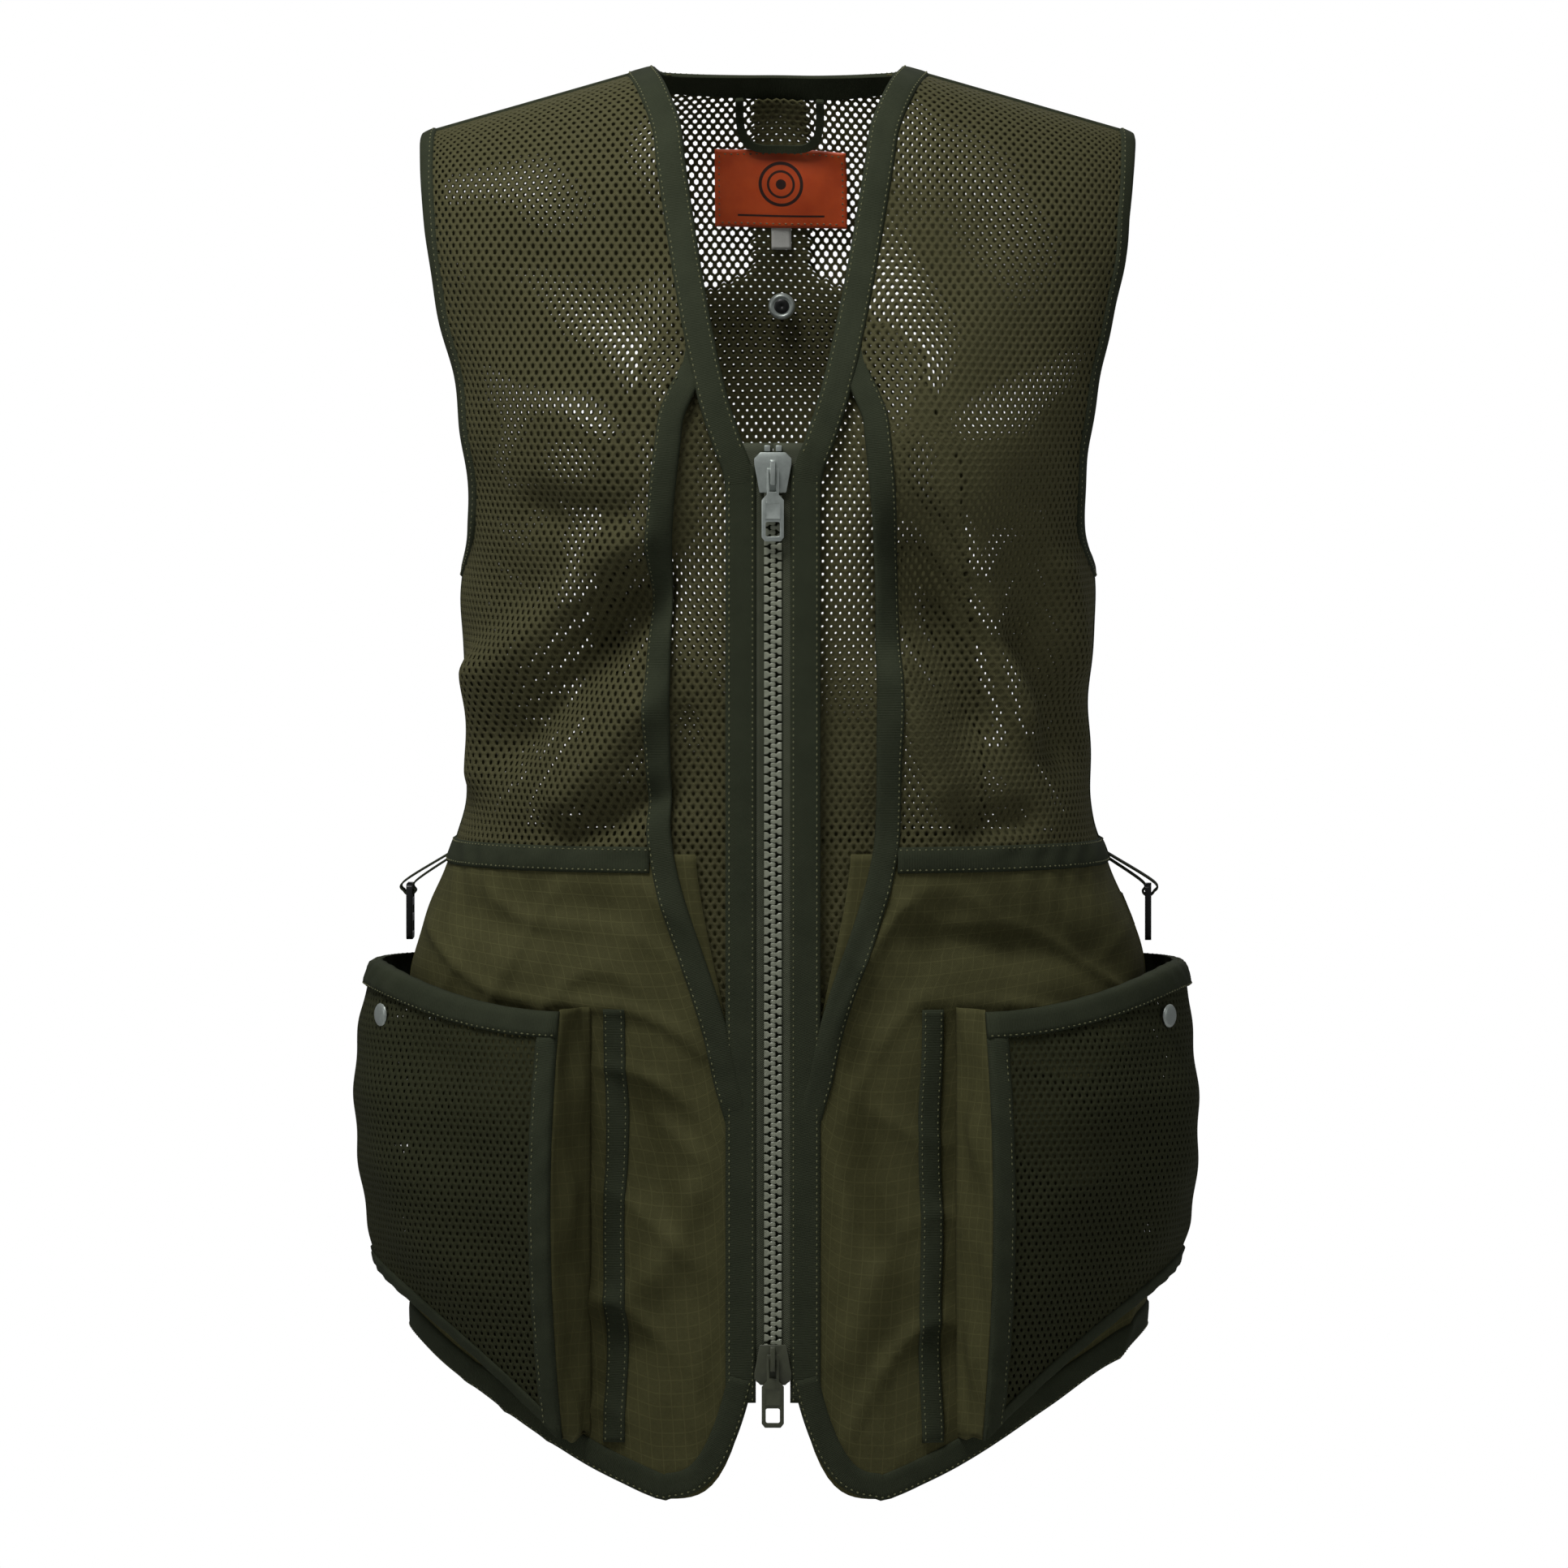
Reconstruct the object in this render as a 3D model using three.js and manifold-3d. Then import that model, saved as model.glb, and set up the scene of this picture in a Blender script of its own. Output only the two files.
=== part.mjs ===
// Sleeveless mesh shooting vest with a two-way zip and two bellows pockets at the hips.
// Millimetres, +Z up, the wearer faces -Y and the wearer's left is +X. Heights in this file are
// measured up from the tips of the front hem; the finished group is lowered so that the origin lies
// between the shoulders, where the vest hangs on its wearer.
import * as THREE from 'three';
import { mergeVertices } from 'three/addons/utils/BufferGeometryUtils.js';
import Module from 'manifold-3d';

const wasm = await Module();
wasm.setup();

// Overall size of the body of the vest.
const NECK_HEIGHT = 708;
const NECK_HALF_WIDTH = 61;
const SHOULDER_HALF_WIDTH = 176;
const SHOULDER_DROP = 33;
const SEAT_HEIGHT = 690;
const CHEST_HEIGHT = 455;
const CHEST_HALF_WIDTH = 156;
const WAIST_HEIGHT = 350;
const WAIST_HALF_WIDTH = 155;
const HIP_HEIGHT = 250;
const HIP_HALF_WIDTH = 183;
const FRONT_DEPTH = 116;
const BACK_DEPTH = 112;
const WAIST_BACK_DEPTH = 100;
const NECK_DEPTH = 62;
const SHOULDER_ROUND = 60;
const SQUARENESS = 2.4;

// Armholes, neck opening and hem.
const ARMHOLE_HALF_DEPTH = 50;
const ARMHOLE_ROUND = 65;
const V_HEIGHT = 520;
const V_HALF_WIDTH = 11;
const COLLAR_HALF_WIDTH = 50;
const BACK_NECK_HEIGHT = 706;
const TIP_X = 57;
const TIP_RISE = 60;
const SIDE_HEM_RISE = 62;
const BACK_HEM_HEIGHT = 84;

// Cloth and tapes.
const CLOTH = 1.0;
const TAPE = 1.0;
const TAPE_LIFT = 2.2;
const WAIST_TAPE_LIFT = 2.9;
const SEAM_GAP = 0.4;
const SHOULDER_SEAM_DROP = 0.003;
const NECK_BINDING = 14.6;
const ARMHOLE_BINDING = 8;
const HEM_BINDING = 13;
const OPENING_TAPE = 12.5;
const WAIST_TAPE = 13;
const WAIST_TAPE_HEIGHT = 317;
const SHOULDER_TAPE = 6;
const OPENING_HALF_WIDTH = 51;
const OPENING_TOP_HALF_WIDTH = 42.5;
const OPENING_FOOT_HALF_WIDTH = 17;
const OPENING_TOP = 570;
const OPENING_MIDDLE = 440;
const OPENING_BEND = 340;
const OPENING_FOOT = 195;
const INNER_MESH_LIFT = -4.2;
const INNER_POCKET_LIFT = -2;
const OVERLAY_LIFT = -2.4;

// Zip: two rows of moulded teeth on woven tapes, between facings sewn on top.
const TOOTH_PITCH = 4.7;
const TOOTH_COUNT = 92;
const CHAIN_FOOT = 72;
const CHAIN_HALF_WIDTH = 4.3;
const TOOTH_TIP = 1.0;
const TOOTH_CLEARANCE = 0.5;
const TOOTH_THICKNESS = 2.6;
const ZIP_TAPE_WIDTH = 12.4;
const ZIP_TAPE_THICKNESS = 0.8;
const ZIP_TAPE_LIFT = 0.1;
const FACING_INNER = 8.5;
const FACING_OUTER = 23.5;
const FACING_LIFT = 1.3;
const FACING_THICKNESS = 0.5;
const SLIDER_LENGTH = 20;
const SLIDER_CROWN = 18.4;
const SLIDER_TAIL = 13.2;
const SLIDER_PLATE = 1.5;
const SLIDER_CLEARANCE = 0.45;
const PULL_LENGTH = 35;
const PULL_WIDTH = 11;
const PULL_THICKNESS = 1.6;
const STOP_LENGTH = 3;
const PIN_LENGTH = 14;

// Bellows pockets.
const POCKET_FRONT_X = 97;
const POCKET_REAR_ANGLE = 112;
const POCKET_DEPTH = 45;
const POCKET_REAR_STAND = 3.4;
const POCKET_MOUTH_HEIGHT = 243;
const POCKET_MOUTH_RISE = 20;
const POCKET_FOOT_HEIGHT = 30;
const POCKET_FOOT_RISE = 84;
const MOUTH_BINDING = 13;
const EDGE_BINDING = 7.5;
const BODY_TAPE = 11;
const BODY_TAPE_X = 78;
const SNAP_DIAMETER = 12;
const SNAP_DROP = 22;

// Small parts inside the back neck and at the sides.
const LABEL_WIDTH = 67;
const LABEL_HEIGHT = 40;
const LABEL_FOOT = 629;
const SIZE_TAB_WIDTH = 10;
const SIZE_TAB_HEIGHT = 11;
const LOOP_WIDTH = 43;
const LOOP_DROP = 27;
const LOOP_TAPE = 4;
const LOOP_LIFT = -7.6;
const BACK_SNAP_HEIGHT = 588;
const BACK_SNAP_DIAMETER = 13.5;
const BUCKLE_HEIGHT = 28;
const BUCKLE_WIDTH = 26;
const BUCKLE_THICKNESS = 3.2;
const BUCKLE_HANG = 299;
const STRAP_WIDTH = 20;
const STRAP_HEIGHT = 284;

const material = (color, roughness, metalness = 0) =>
  new THREE.MeshStandardMaterial({ color, roughness, metalness });
const meshCloth = material(0x3c3b29, 0.85);
const ripstop = material(0x403f2a, 0.8);
const tapeCloth = material(0x2b2f25, 0.9);
const zipCloth = material(0x2a2e24, 0.85);
const moulded = material(0x47493d, 0.45);
const olivePaint = material(0x4b4d3c, 0.4, 0.3);
const nickel = material(0x909b96, 0.3, 0.9);
const blackPlastic = material(0x151615, 0.4);
const orangeSatin = material(0xc8461a, 0.45);
const whiteTape = material(0xd8d8d2, 0.8);

const vest = new THREE.Group();
vest.position.z = -SEAT_HEIGHT;

function addPiece(name, geometry, look) {
  const piece = new THREE.Mesh(geometry, look);
  piece.name = name;
  vest.add(piece);
  return piece;
}

// ---- Shape of the wearer's body that the cloth lies on ----

const clamp = (v, low, high) => Math.min(high, Math.max(low, v));
const lerp = (a, b, t) => a + (b - a) * t;
const radians = THREE.MathUtils.degToRad;

// A smooth run of values through [height, value] knots.
function profile(knots, z) {
  if (z <= knots[0][0]) return knots[0][1];
  for (let i = 1; i < knots.length; i++) {
    const [z1, v1] = knots[i];
    if (z > z1) continue;
    const [z0, v0] = knots[i - 1];
    return lerp(v0, v1, THREE.MathUtils.smoothstep(z, z0, z1));
  }
  return knots[knots.length - 1][1];
}

const shoulderSlope = SHOULDER_DROP / (SHOULDER_HALF_WIDTH - NECK_HALF_WIDTH);
const shoulderLine = (x) => NECK_HEIGHT - (Math.abs(x) - NECK_HALF_WIDTH) * shoulderSlope;
const tipHeight = shoulderLine(SHOULDER_HALF_WIDTH);
const armholeShare = (1 - (ARMHOLE_HALF_DEPTH / FRONT_DEPTH) ** SQUARENESS) ** (1 / SQUARENESS);

const halfWidth = (z) => profile([
  [HIP_HEIGHT, HIP_HALF_WIDTH],
  [WAIST_HEIGHT, WAIST_HALF_WIDTH],
  [CHEST_HEIGHT, CHEST_HALF_WIDTH],
  [tipHeight, SHOULDER_HALF_WIDTH / armholeShare],
], z);

const depth = (z, side) => profile(side < 0
  ? [[V_HEIGHT, FRONT_DEPTH], [NECK_HEIGHT, NECK_DEPTH]]
  : [[HIP_HEIGHT, BACK_DEPTH], [WAIST_HEIGHT, WAIST_BACK_DEPTH],
    [V_HEIGHT, BACK_DEPTH], [NECK_HEIGHT, NECK_DEPTH]], z);

// How far the front and the back still stand apart under the shoulder, from 0 on the seam to 1.
function shoulderSpread(x, z) {
  const drop = clamp((shoulderLine(x) - z) / SHOULDER_ROUND, 0, 1);
  return Math.sqrt(1 - (1 - drop) ** 2);
}

// A point on the body at a place across and a height; side is -1 in front and 1 behind.
function bodyPoint(x, z, side) {
  const share = clamp(Math.abs(x) / halfWidth(z), 0, 1);
  const reach = (1 - share ** SQUARENESS) ** (1 / SQUARENESS);
  return new THREE.Vector3(x, side * depth(z, side) * reach * shoulderSpread(x, z), z);
}

// The same surface by the angle round it: 0 is the centre front, 90 the left side, 180 the back.
function bodyAround(angle, z) {
  const a = radians(angle);
  const x = halfWidth(z) * Math.sign(Math.sin(a)) * Math.abs(Math.sin(a)) ** (2 / SQUARENESS);
  const side = Math.cos(a) > 0 ? -1 : 1;
  const reach = Math.abs(Math.cos(a)) ** (2 / SQUARENESS);
  return new THREE.Vector3(x, side * depth(z, side) * reach * shoulderSpread(x, z), z);
}

const angleAt = (x, z) =>
  THREE.MathUtils.radToDeg(Math.asin(clamp(x / halfWidth(z), 0, 1) ** (SQUARENESS / 2)));

function outward(p) {
  const inside = (x, y, z) => {
    const side = y < 0 ? -1 : 1;
    const spread = shoulderSpread(x, z) ** SQUARENESS;
    return ((Math.abs(x) / halfWidth(z)) ** SQUARENESS - 1) * spread
      + (Math.abs(y) / depth(z, side)) ** SQUARENESS;
  };
  const step = 0.5;
  return new THREE.Vector3(
    inside(p.x + step, p.y, p.z) - inside(p.x - step, p.y, p.z),
    inside(p.x, p.y + step, p.z) - inside(p.x, p.y - step, p.z),
    inside(p.x, p.y, p.z + step) - inside(p.x, p.y, p.z - step),
  ).normalize();
}

const lifted = (p, height) => p.clone().addScaledVector(outward(p), height);

// ---- Closed solids from cloth ----

// Two matching grids of points, the two faces of a piece, closed round their edges.
function slab(outer, inner, isLoop = false) {
  const rows = outer.length;
  const columns = outer[0].length;
  const positions = [];
  for (const p of [outer, inner].flat(2)) positions.push(p.x, p.y, p.z);
  const at = (face, i, j) => (face * rows + (i % rows)) * columns + j;
  const index = [];
  const quad = (a, b, c, d) => index.push(a, b, c, a, c, d);
  const lastRow = isLoop ? rows : rows - 1;
  for (let i = 0; i < lastRow; i++) {
    for (let j = 0; j < columns - 1; j++) {
      quad(at(0, i, j), at(0, i + 1, j), at(0, i + 1, j + 1), at(0, i, j + 1));
      quad(at(1, i, j), at(1, i, j + 1), at(1, i + 1, j + 1), at(1, i + 1, j));
    }
    quad(at(0, i, 0), at(1, i, 0), at(1, i + 1, 0), at(0, i + 1, 0));
    const j = columns - 1;
    quad(at(0, i, j), at(0, i + 1, j), at(1, i + 1, j), at(1, i, j));
  }
  if (!isLoop) {
    for (let j = 0; j < columns - 1; j++) {
      quad(at(0, 0, j), at(0, 0, j + 1), at(1, 0, j + 1), at(1, 0, j));
      const i = rows - 1;
      quad(at(0, i, j), at(1, i, j), at(1, i, j + 1), at(0, i, j + 1));
    }
  }
  if (signedVolume(positions, index) < 0) {
    for (let k = 0; k < index.length; k += 3) [index[k], index[k + 1]] = [index[k + 1], index[k]];
  }
  const geometry = new THREE.BufferGeometry();
  geometry.setAttribute('position', new THREE.Float32BufferAttribute(positions, 3));
  geometry.setIndex(index);
  geometry.computeVertexNormals();
  return geometry;
}

function signedVolume(positions, index) {
  const corner = (k) => new THREE.Vector3().fromArray(positions, index[k] * 3);
  let total = 0;
  for (let k = 0; k < index.length; k += 3) {
    total += corner(k).dot(corner(k + 1).cross(corner(k + 2)));
  }
  return total;
}

// A cloth panel: place(across, up) gives a point on the body for shares from 0 to 1.
function panel(place, columns, rows, lift = 0, thickness = CLOTH) {
  const outer = [];
  const inner = [];
  for (let i = 0; i <= rows; i++) {
    const line = [];
    for (let j = 0; j <= columns; j++) line.push(place(j / columns, i / rows));
    outer.push(line.map((p) => lifted(p, lift + thickness)));
    inner.push(line.map((p) => lifted(p, lift)));
  }
  return slab(outer, inner);
}

// A tape laid along a route on the body.
function band(route, width, lift = TAPE_LIFT, thickness = TAPE, isLoop = false) {
  const count = route.length;
  const outer = [];
  const inner = [];
  route.forEach((p, i) => {
    const before = route[isLoop ? (i + count - 1) % count : Math.max(i - 1, 0)];
    const after = route[isLoop ? (i + 1) % count : Math.min(i + 1, count - 1)];
    const normal = outward(p);
    const across = new THREE.Vector3().subVectors(after, before).cross(normal).setLength(width / 2);
    const edges = [p.clone().sub(across), p.clone().add(across)];
    outer.push(edges.map((e) => e.clone().addScaledVector(normal, lift + thickness)));
    inner.push(edges.map((e) => e.clone().addScaledVector(normal, lift)));
  });
  return slab(outer, inner, isLoop);
}

// Evenly spaced points along a smooth curve through the given ones.
function spaced(points, step) {
  const curve = new THREE.CatmullRomCurve3(points, false, 'centripetal');
  return curve.getSpacedPoints(Math.max(2, Math.round(curve.getLength() / step)));
}

const mirrored = (points) => points.map((p) => new THREE.Vector3(-p.x, p.y, p.z));
const range = (count) => Array.from({ length: count + 1 }, (_, i) => i / count);

// ---- Boolean solids ----

function solid(geometry) {
  const bare = geometry.index ? geometry.toNonIndexed() : geometry.clone();
  bare.deleteAttribute('normal');
  bare.deleteAttribute('uv');
  const merged = mergeVertices(bare, 1e-4);
  const vertProperties = new Float32Array(merged.attributes.position.array);
  const triVerts = new Uint32Array(merged.index.array);
  return new wasm.Manifold(new wasm.Mesh({ numProp: 3, vertProperties, triVerts }));
}

function geometryOf(body) {
  const mesh = body.getMesh();
  const geometry = new THREE.BufferGeometry();
  geometry.setAttribute('position', new THREE.Float32BufferAttribute(mesh.vertProperties, 3));
  geometry.setIndex(Array.from(mesh.triVerts));
  geometry.computeVertexNormals();
  return geometry;
}

// A flat outline in x and z, given depth from its back face towards the front.
function upright(shape, backY, thickness, curveSegments = 6) {
  const geometry = new THREE.ExtrudeGeometry(shape, { depth: thickness, bevelEnabled: false, curveSegments });
  return geometry.rotateX(Math.PI / 2).translate(0, backY, 0);
}

function box(low, high) {
  const size = high.map((v, i) => v - low[i]);
  const centre = high.map((v, i) => (v + low[i]) / 2);
  return new THREE.BoxGeometry(...size).translate(...centre);
}

function outline(points) {
  return new THREE.Shape(points.map(([x, z]) => new THREE.Vector2(x, z)));
}

function roundedOutline(width, low, high, round) {
  const w = width / 2;
  const shape = new THREE.Shape();
  shape.moveTo(-w + round, low);
  shape.lineTo(w - round, low);
  shape.quadraticCurveTo(w, low, w, low + round);
  shape.lineTo(w, high - round);
  shape.quadraticCurveTo(w, high, w - round, high);
  shape.lineTo(-w + round, high);
  shape.quadraticCurveTo(-w, high, -w, high - round);
  shape.lineTo(-w, low + round);
  shape.quadraticCurveTo(-w, low, -w + round, low);
  return shape;
}

// A window for another outline; its last point would repeat the first.
const windowIn = (shape, divisions) => new THREE.Path(shape.getPoints(divisions).slice(0, -1));

// ---- Edges that the panels and tapes share ----

// Inner edge of the neck opening in front, and of the curved front opening, by height.
const neckEdge = (z) => lerp(V_HALF_WIDTH, COLLAR_HALF_WIDTH,
  clamp((z - V_HEIGHT) / (NECK_HEIGHT - 8 - V_HEIGHT), 0, 1) ** 0.64);
const openingEdge = (z) => profile([
  [OPENING_FOOT, OPENING_FOOT_HALF_WIDTH],
  [OPENING_BEND, OPENING_HALF_WIDTH],
  [OPENING_MIDDLE, OPENING_HALF_WIDTH],
  [OPENING_TOP, OPENING_TOP_HALF_WIDTH],
], z);
const neckOuterEdge = (z) => {
  const slope = (neckEdge(z + 1) - neckEdge(z - 1)) / 2;
  return neckEdge(z) + NECK_BINDING * Math.sqrt(1 + slope ** 2);
};

// Height where the opening tape runs into the neck binding.
let openingTop = OPENING_TOP;
while (openingEdge(openingTop) < neckOuterEdge(openingTop) + 2 * SEAM_GAP) openingTop -= 1;

// Front hem: a rounded tip beside the zip, rising towards the side; then round the back.
function frontHem(x) {
  if (x < TIP_X) return TIP_RISE * (clamp((TIP_X - x) / (TIP_X - V_HALF_WIDTH), 0, 1)) ** 4;
  return SIDE_HEM_RISE * ((x - TIP_X) / (HIP_HALF_WIDTH - 22 - TIP_X)) ** 1.2;
}
const sideHemHeight = frontHem(HIP_HALF_WIDTH);
const backHem = (angle) => lerp(sideHemHeight, BACK_HEM_HEIGHT,
  THREE.MathUtils.smoothstep(angle, 90, 150));

function armholeReach(z) {
  const foot = CHEST_HEIGHT + ARMHOLE_ROUND;
  if (z >= foot) return ARMHOLE_HALF_DEPTH;
  return ARMHOLE_HALF_DEPTH * Math.sqrt(clamp(1 - ((foot - z) / ARMHOLE_ROUND) ** 2, 0, 1));
}
// Angle from the centre line to the armhole or side seam, in front or behind.
function sideAngle(z, side) {
  if (z <= CHEST_HEIGHT) return 90;
  const share = clamp(armholeReach(z) / depth(Math.min(z, V_HEIGHT), side), 0, 1);
  return THREE.MathUtils.radToDeg(Math.acos(share ** (SQUARENESS / 2)));
}

// Share of an upper panel's rows that lie below the foot of the armhole, its knee. Above it the rows
// crowd together at both ends: round the armhole's foot, and where the cloth turns over the shoulder.
const KNEE_SHARE = 6 / 17;
const crowded = (t) => lerp((1 - Math.cos(Math.PI * t)) / 2, Math.sin(t * Math.PI / 2), 0.3);

// A panel between a low and a high edge, from an inner to an outer edge, on one half of the vest.
function halfPanelPlace({ side, inner, low, high, sign, knee }) {
  return (across, up) => {
    const place = (z) => {
      const from = angleAt(inner(z), z);
      const angle = lerp(from, sideAngle(z, side) - SEAM_GAP / 3, across);
      const turned = side < 0 ? angle : 180 - angle;
      return bodyAround(sign * turned, z);
    };
    const settle = (edge) => {
      let z = edge(inner(0));
      for (let k = 0; k < 30; k++) z = lerp(z, edge(Math.abs(place(z).x)), 0.6);
      return z;
    };
    const [foot, top] = [settle(low), settle(high)];
    if (knee === undefined) return place(lerp(foot, top, up));
    if (up <= KNEE_SHARE) return place(lerp(foot, knee, up / KNEE_SHARE));
    return place(lerp(knee, top, crowded((up - KNEE_SHARE) / (1 - KNEE_SHARE))));
  };
}

// ---- Cloth panels ----

const backTop = (x) => Math.min(shoulderLine(x) - SHOULDER_SEAM_DROP,
  lerp(BACK_NECK_HEIGHT - 3, NECK_HEIGHT, clamp(x / NECK_HALF_WIDTH, 0, 1) ** 2) - SEAM_GAP);
const seamHeight = WAIST_TAPE_HEIGHT;

// The whole back, whose outer edges are the armholes and the side seams.
addPiece('back_mesh_panel', panel((across, up) => halfPanelPlace({
  side: 1,
  sign: across < 0.5 ? -1 : 1,
  inner: () => 0,
  low: () => seamHeight + SEAM_GAP,
  high: backTop,
  knee: CHEST_HEIGHT,
})(Math.abs(across - 0.5) * 2, up), 18, 17), meshCloth);
addPiece('lower_back_panel', panel((across, up) => {
  const angle = lerp(90 + SEAM_GAP / 3, 270 - SEAM_GAP / 3, across);
  const hem = backHem(angle > 180 ? 360 - angle : angle);
  return bodyAround(angle, lerp(hem, seamHeight - SEAM_GAP, up));
}, 18, 8), ripstop);

// Second mesh layer inside the back: a narrow neck that widens like the shoulders of a bottle.
const overlayHalfWidth = (z) => profile([
  [340, 100], [500, 92], [560, 72], [592, 40], [608, 15],
], z);
addPiece('back_overlay_panel', panel((across, up) => {
  const z = lerp(325, 694, up);
  return bodyPoint(lerp(-1, 1, across) * overlayHalfWidth(z), z, 1);
}, 8, 18, OVERLAY_LIFT - CLOTH, CLOTH), meshCloth);

const panelInner = (z) => {
  const below = openingEdge(z) + OPENING_TAPE / 2;
  const above = neckEdge(z) + NECK_BINDING / 2;
  return lerp(below, above, THREE.MathUtils.smoothstep(z, openingTop - 6, openingTop + 16));
};
const lowerInner = (z) => lerp(ZIP_TAPE_WIDTH + CHAIN_HALF_WIDTH + 3 * SEAM_GAP,
  openingEdge(z) + OPENING_TAPE / 2, THREE.MathUtils.smoothstep(z, OPENING_FOOT - 25, OPENING_FOOT));

for (const [hand, sign] of [['left', 1], ['right', -1]]) {
  const front = { side: -1, sign };
  addPiece(`${hand}_front_mesh_panel`, panel(halfPanelPlace({ ...front,
    inner: panelInner,
    low: () => seamHeight + SEAM_GAP,
    high: (x) => shoulderLine(x) - SHOULDER_SEAM_DROP,
    knee: CHEST_HEIGHT,
  }), 9, 17), meshCloth);
  addPiece(`${hand}_lower_front_panel`, panel((across, up) => halfPanelPlace({ ...front,
    inner: lowerInner,
    low: frontHem,
    high: () => seamHeight - SEAM_GAP,
  })(across ** 1.25, up), 10, 9), ripstop);

  // Inner mesh beside the zip, behind the curved opening of the outer panel.
  addPiece(`${hand}_front_inner_mesh`, panel((across, up) => {
    const z = lerp(190, openingTop - 8, up);
    const inner = z > V_HEIGHT ? neckEdge(z) + 3 : 14;
    return bodyPoint(sign * lerp(inner, openingEdge(z) + 9, across), z, -1);
  }, 3, 14, INNER_MESH_LIFT - CLOTH), meshCloth);

  // Ripstop bag of the inner pocket, sewn behind the opening tape.
  addPiece(`${hand}_inner_pocket`, panel((across, up) => {
    const z = lerp(160, 320, up);
    const inner = lerp(20, 39, THREE.MathUtils.smoothstep(z, 200, 330));
    return bodyPoint(sign * lerp(inner, 110, across), z, -1);
  }, 6, 6, INNER_POCKET_LIFT, CLOTH / 2), ripstop);
}

// ---- Bindings and tapes ----

// Half of the neck binding's centre line: up the V, over the shoulder, to the centre back.
const neckCentre = (z) => (neckEdge(z) + neckOuterEdge(z)) / 2;
const halfNeck = [
  ...range(8).map((t) => lerp(V_HEIGHT + 4, NECK_HEIGHT - 28, t)).map((z) => bodyPoint(neckCentre(z), z, -1)),
  bodyPoint(NECK_HALF_WIDTH + 1, NECK_HEIGHT - 10, -1),
  bodyPoint(NECK_HALF_WIDTH + NECK_BINDING / 2, shoulderLine(NECK_HALF_WIDTH + NECK_BINDING / 2), -1),
  bodyPoint(NECK_HALF_WIDTH + 2, NECK_HEIGHT - 6, 1),
  bodyPoint(NECK_HALF_WIDTH * 0.75, BACK_NECK_HEIGHT - 6, 1),
  bodyPoint(NECK_HALF_WIDTH * 0.35, BACK_NECK_HEIGHT - NECK_BINDING / 2, 1),
];
const neckRoute = spaced([...halfNeck, bodyPoint(0, BACK_NECK_HEIGHT - NECK_BINDING / 2, 1),
  ...mirrored(halfNeck).reverse()], 10);
addPiece('neck_binding', band(neckRoute, NECK_BINDING), tapeCloth);

// Hem binding: down beside the zip, round the tip, along the side and across the back.
const facingMiddle = (FACING_INNER + FACING_OUTER) / 2;
const hemLift = HEM_BINDING / 2;
const halfHem = [
  ...range(10).map((t) => {
    const x = lerp(facingMiddle, TIP_X, t);
    const z = hemLift + (TIP_RISE - hemLift) * ((TIP_X - x) / (TIP_X - facingMiddle)) ** 3.2;
    return bodyPoint(x, z, -1);
  }),
  ...range(8).slice(1).map((t) => {
    const angle = lerp(angleAt(TIP_X, 0), 90, t);
    const z = frontHem(bodyAround(angle, SIDE_HEM_RISE).x) + hemLift;
    return bodyAround(angle, z);
  }),
  ...range(9).slice(1).map((t) => bodyAround(lerp(90, 180, t), backHem(lerp(90, 180, t)) + hemLift)),
];
const hemRoute = spaced([...halfHem, ...mirrored(halfHem.slice(0, -1)).reverse()], 13);
addPiece('hem_binding', band(hemRoute, HEM_BINDING), tapeCloth);

const backWaistRoute = range(26).map((t) => bodyAround(lerp(90.2, 269.8, t), WAIST_TAPE_HEIGHT));
addPiece('back_waist_tape', band(backWaistRoute, WAIST_TAPE, WAIST_TAPE_LIFT), tapeCloth);

const tapeY = -FRONT_DEPTH - ZIP_TAPE_LIFT;
const chainY = tapeY - ZIP_TAPE_THICKNESS / 2;
const chainLength = TOOTH_PITCH * TOOTH_COUNT;
const chainTop = CHAIN_FOOT + chainLength;
const topSliderHeight = chainTop + SLIDER_LENGTH / 4;
const bottomSliderHeight = CHAIN_FOOT - SLIDER_LENGTH / 4;
const tapeFoot = CHAIN_FOOT - 12;
const tapeTop = V_HEIGHT + 4;

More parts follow.
